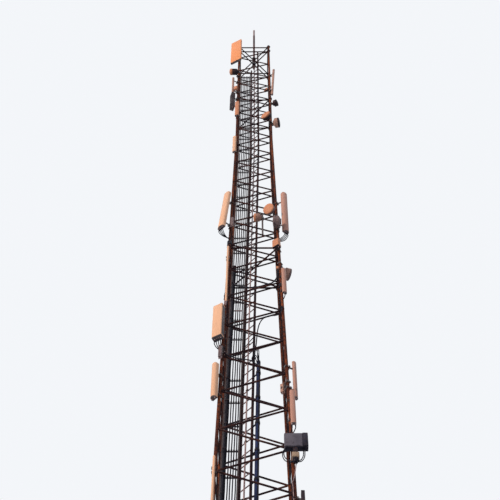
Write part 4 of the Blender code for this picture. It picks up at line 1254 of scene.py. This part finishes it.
class TowerStageSettings(bpy.types.PropertyGroup):
    """Camera, floor and light"""
    lens: bpy.props.FloatProperty(
        name="Lens", description="Focal length in millimetres for a 36 mm sensor",
        default=81.72, min=10.0)
    shift_x: bpy.props.FloatProperty(
        name="Shift", description="Sideways shift as a share of the frame",
        default=-0.008)
    stand_off: bpy.props.FloatProperty(
        name="Stand-off", description="Ground distance from camera to mast",
        default=13.035, min=1.0, unit="LENGTH")
    eye_height: bpy.props.FloatProperty(
        name="Eye height", description="Camera height over the ground",
        default=1.6, unit="LENGTH")
    pitch: bpy.props.FloatProperty(
        name="Pitch", description="Upward angle of the camera",
        default=math.radians(60.19), subtype="ANGLE")
    floor_size: bpy.props.FloatProperty(
        name="Floor size", description="Side of the floor",
        default=900.0, min=1.0, unit="LENGTH")
    floor_glow: bpy.props.FloatProperty(
        name="Floor paleness", description="Share of plain pale tone in the floor",
        default=0.72, min=0.0, max=1.0)
    sky_strength: bpy.props.FloatProperty(
        name="Sky", description="Strength of the soft surroundings",
        default=0.42, min=0.0)
    key_strength: bpy.props.FloatProperty(
        name="Key", description="Strength of the low key light",
        default=2.55, min=0.0)
    fill_strength: bpy.props.FloatProperty(
        name="Fill", description="Strength of the broad fill",
        default=0.15, min=0.0)
    key_tilt: bpy.props.FloatProperty(
        name="Key tilt", description="Angle of the key light from straight down",
        default=math.radians(80.0), subtype="ANGLE")
    key_turn: bpy.props.FloatProperty(
        name="Key turn", description="Compass turn of the key light",
        default=math.radians(-48.0), subtype="ANGLE")


class TOWER_OT_finishes(bpy.types.Operator):
    """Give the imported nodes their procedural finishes"""
    bl_idname = "tower.finishes"
    bl_label = "Tower finishes"

    def execute(self, context):
        dress_nodes(FRAME)
        return {"FINISHED"}


class TOWER_OT_ladder(bpy.types.Operator):
    """Build the climbing ladder and the safety rail's clips"""
    bl_idname = "tower.ladder"
    bl_label = "Climbing ladder"

    def execute(self, context):
        build_ladder(context.scene.tower_detail)
        return {"FINISHED"}


class TOWER_OT_feeders(bpy.types.Operator):
    """Build the feeder cables with their clips and hangers"""
    bl_idname = "tower.feeders"
    bl_label = "Feeder cables"

    def execute(self, context):
        build_feeders(context.scene.tower_detail)
        return {"FINISHED"}


class TOWER_OT_bundle(bpy.types.Operator):
    """Build the wrapped cable bundle beside the ladder"""
    bl_idname = "tower.bundle"
    bl_label = "Cable bundle"

    def execute(self, context):
        build_bundle(context.scene.tower_detail)
        return {"FINISHED"}


class TOWER_OT_fittings(bpy.types.Operator):
    """Build the mast's bolts, clamps and collars"""
    bl_idname = "tower.fittings"
    bl_label = "Mast fittings"

    def execute(self, context):
        build_fittings(context.scene.tower_detail)
        return {"FINISHED"}


class TOWER_OT_equipment(bpy.types.Operator):
    """Build the antennas, radios, drums, boxes and the cabinet"""
    bl_idname = "tower.equipment"
    bl_label = "Equipment"

    def execute(self, context):
        build_equipment(context.scene.tower_detail)
        return {"FINISHED"}


class TOWER_OT_gland(bpy.types.Operator):
    """Build the connection box and the cable loops under the cabinet"""
    bl_idname = "tower.gland"
    bl_label = "Cabinet gland"

    def execute(self, context):
        build_gland()
        return {"FINISHED"}


class TOWER_OT_cables(bpy.types.Operator):
    """Build the cables that cross the mast and run down from the cabinet"""
    bl_idname = "tower.cables"
    bl_label = "Crossing cables"

    def execute(self, context):
        build_cables()
        return {"FINISHED"}


class TOWER_OT_stage(bpy.types.Operator):
    """Add the camera, the floor and the light"""
    bl_idname = "tower.stage"
    bl_label = "Tower stage"

    def execute(self, context):
        add_stage(context.scene.tower_stage)
        return {"FINISHED"}


class TOWER_PT_panel(bpy.types.Panel):
    bl_idname = "TOWER_PT_panel"
    bl_label = "Cell tower"
    bl_space_type = "VIEW_3D"
    bl_region_type = "UI"
    bl_category = "Tower"

    def draw(self, context):
        for item in STEPS:
            self.layout.operator("tower." + item)
        for settings in (context.scene.tower_detail, context.scene.tower_stage):
            for item in settings.bl_rna.properties.keys():
                if item not in ("rna_type", "name"):
                    self.layout.prop(settings, item)


STEPS = ("finishes", "ladder", "feeders", "bundle", "fittings", "equipment", "gland", "cables", "stage")
CLASSES = (TowerDetailSettings, TowerStageSettings, TOWER_OT_finishes, TOWER_OT_ladder, TOWER_OT_feeders,
           TOWER_OT_bundle, TOWER_OT_fittings, TOWER_OT_equipment, TOWER_OT_gland, TOWER_OT_cables,
           TOWER_OT_stage, TOWER_PT_panel)
FRAME = {}


def register():
    for item in CLASSES:
        bpy.utils.register_class(item)
    bpy.types.Scene.tower_detail = bpy.props.PointerProperty(type=TowerDetailSettings)
    bpy.types.Scene.tower_stage = bpy.props.PointerProperty(type=TowerStageSettings)


def unregister():
    del bpy.types.Scene.tower_stage
    del bpy.types.Scene.tower_detail
    for item in reversed(CLASSES):
        bpy.utils.unregister_class(item)


def main():
    for old in list(bpy.data.objects):
        bpy.data.objects.remove(old)
    FRAME.update(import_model())
    register()
    for item in STEPS:
        getattr(bpy.ops.tower, item)()
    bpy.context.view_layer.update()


if __name__ == "__main__":
    main()
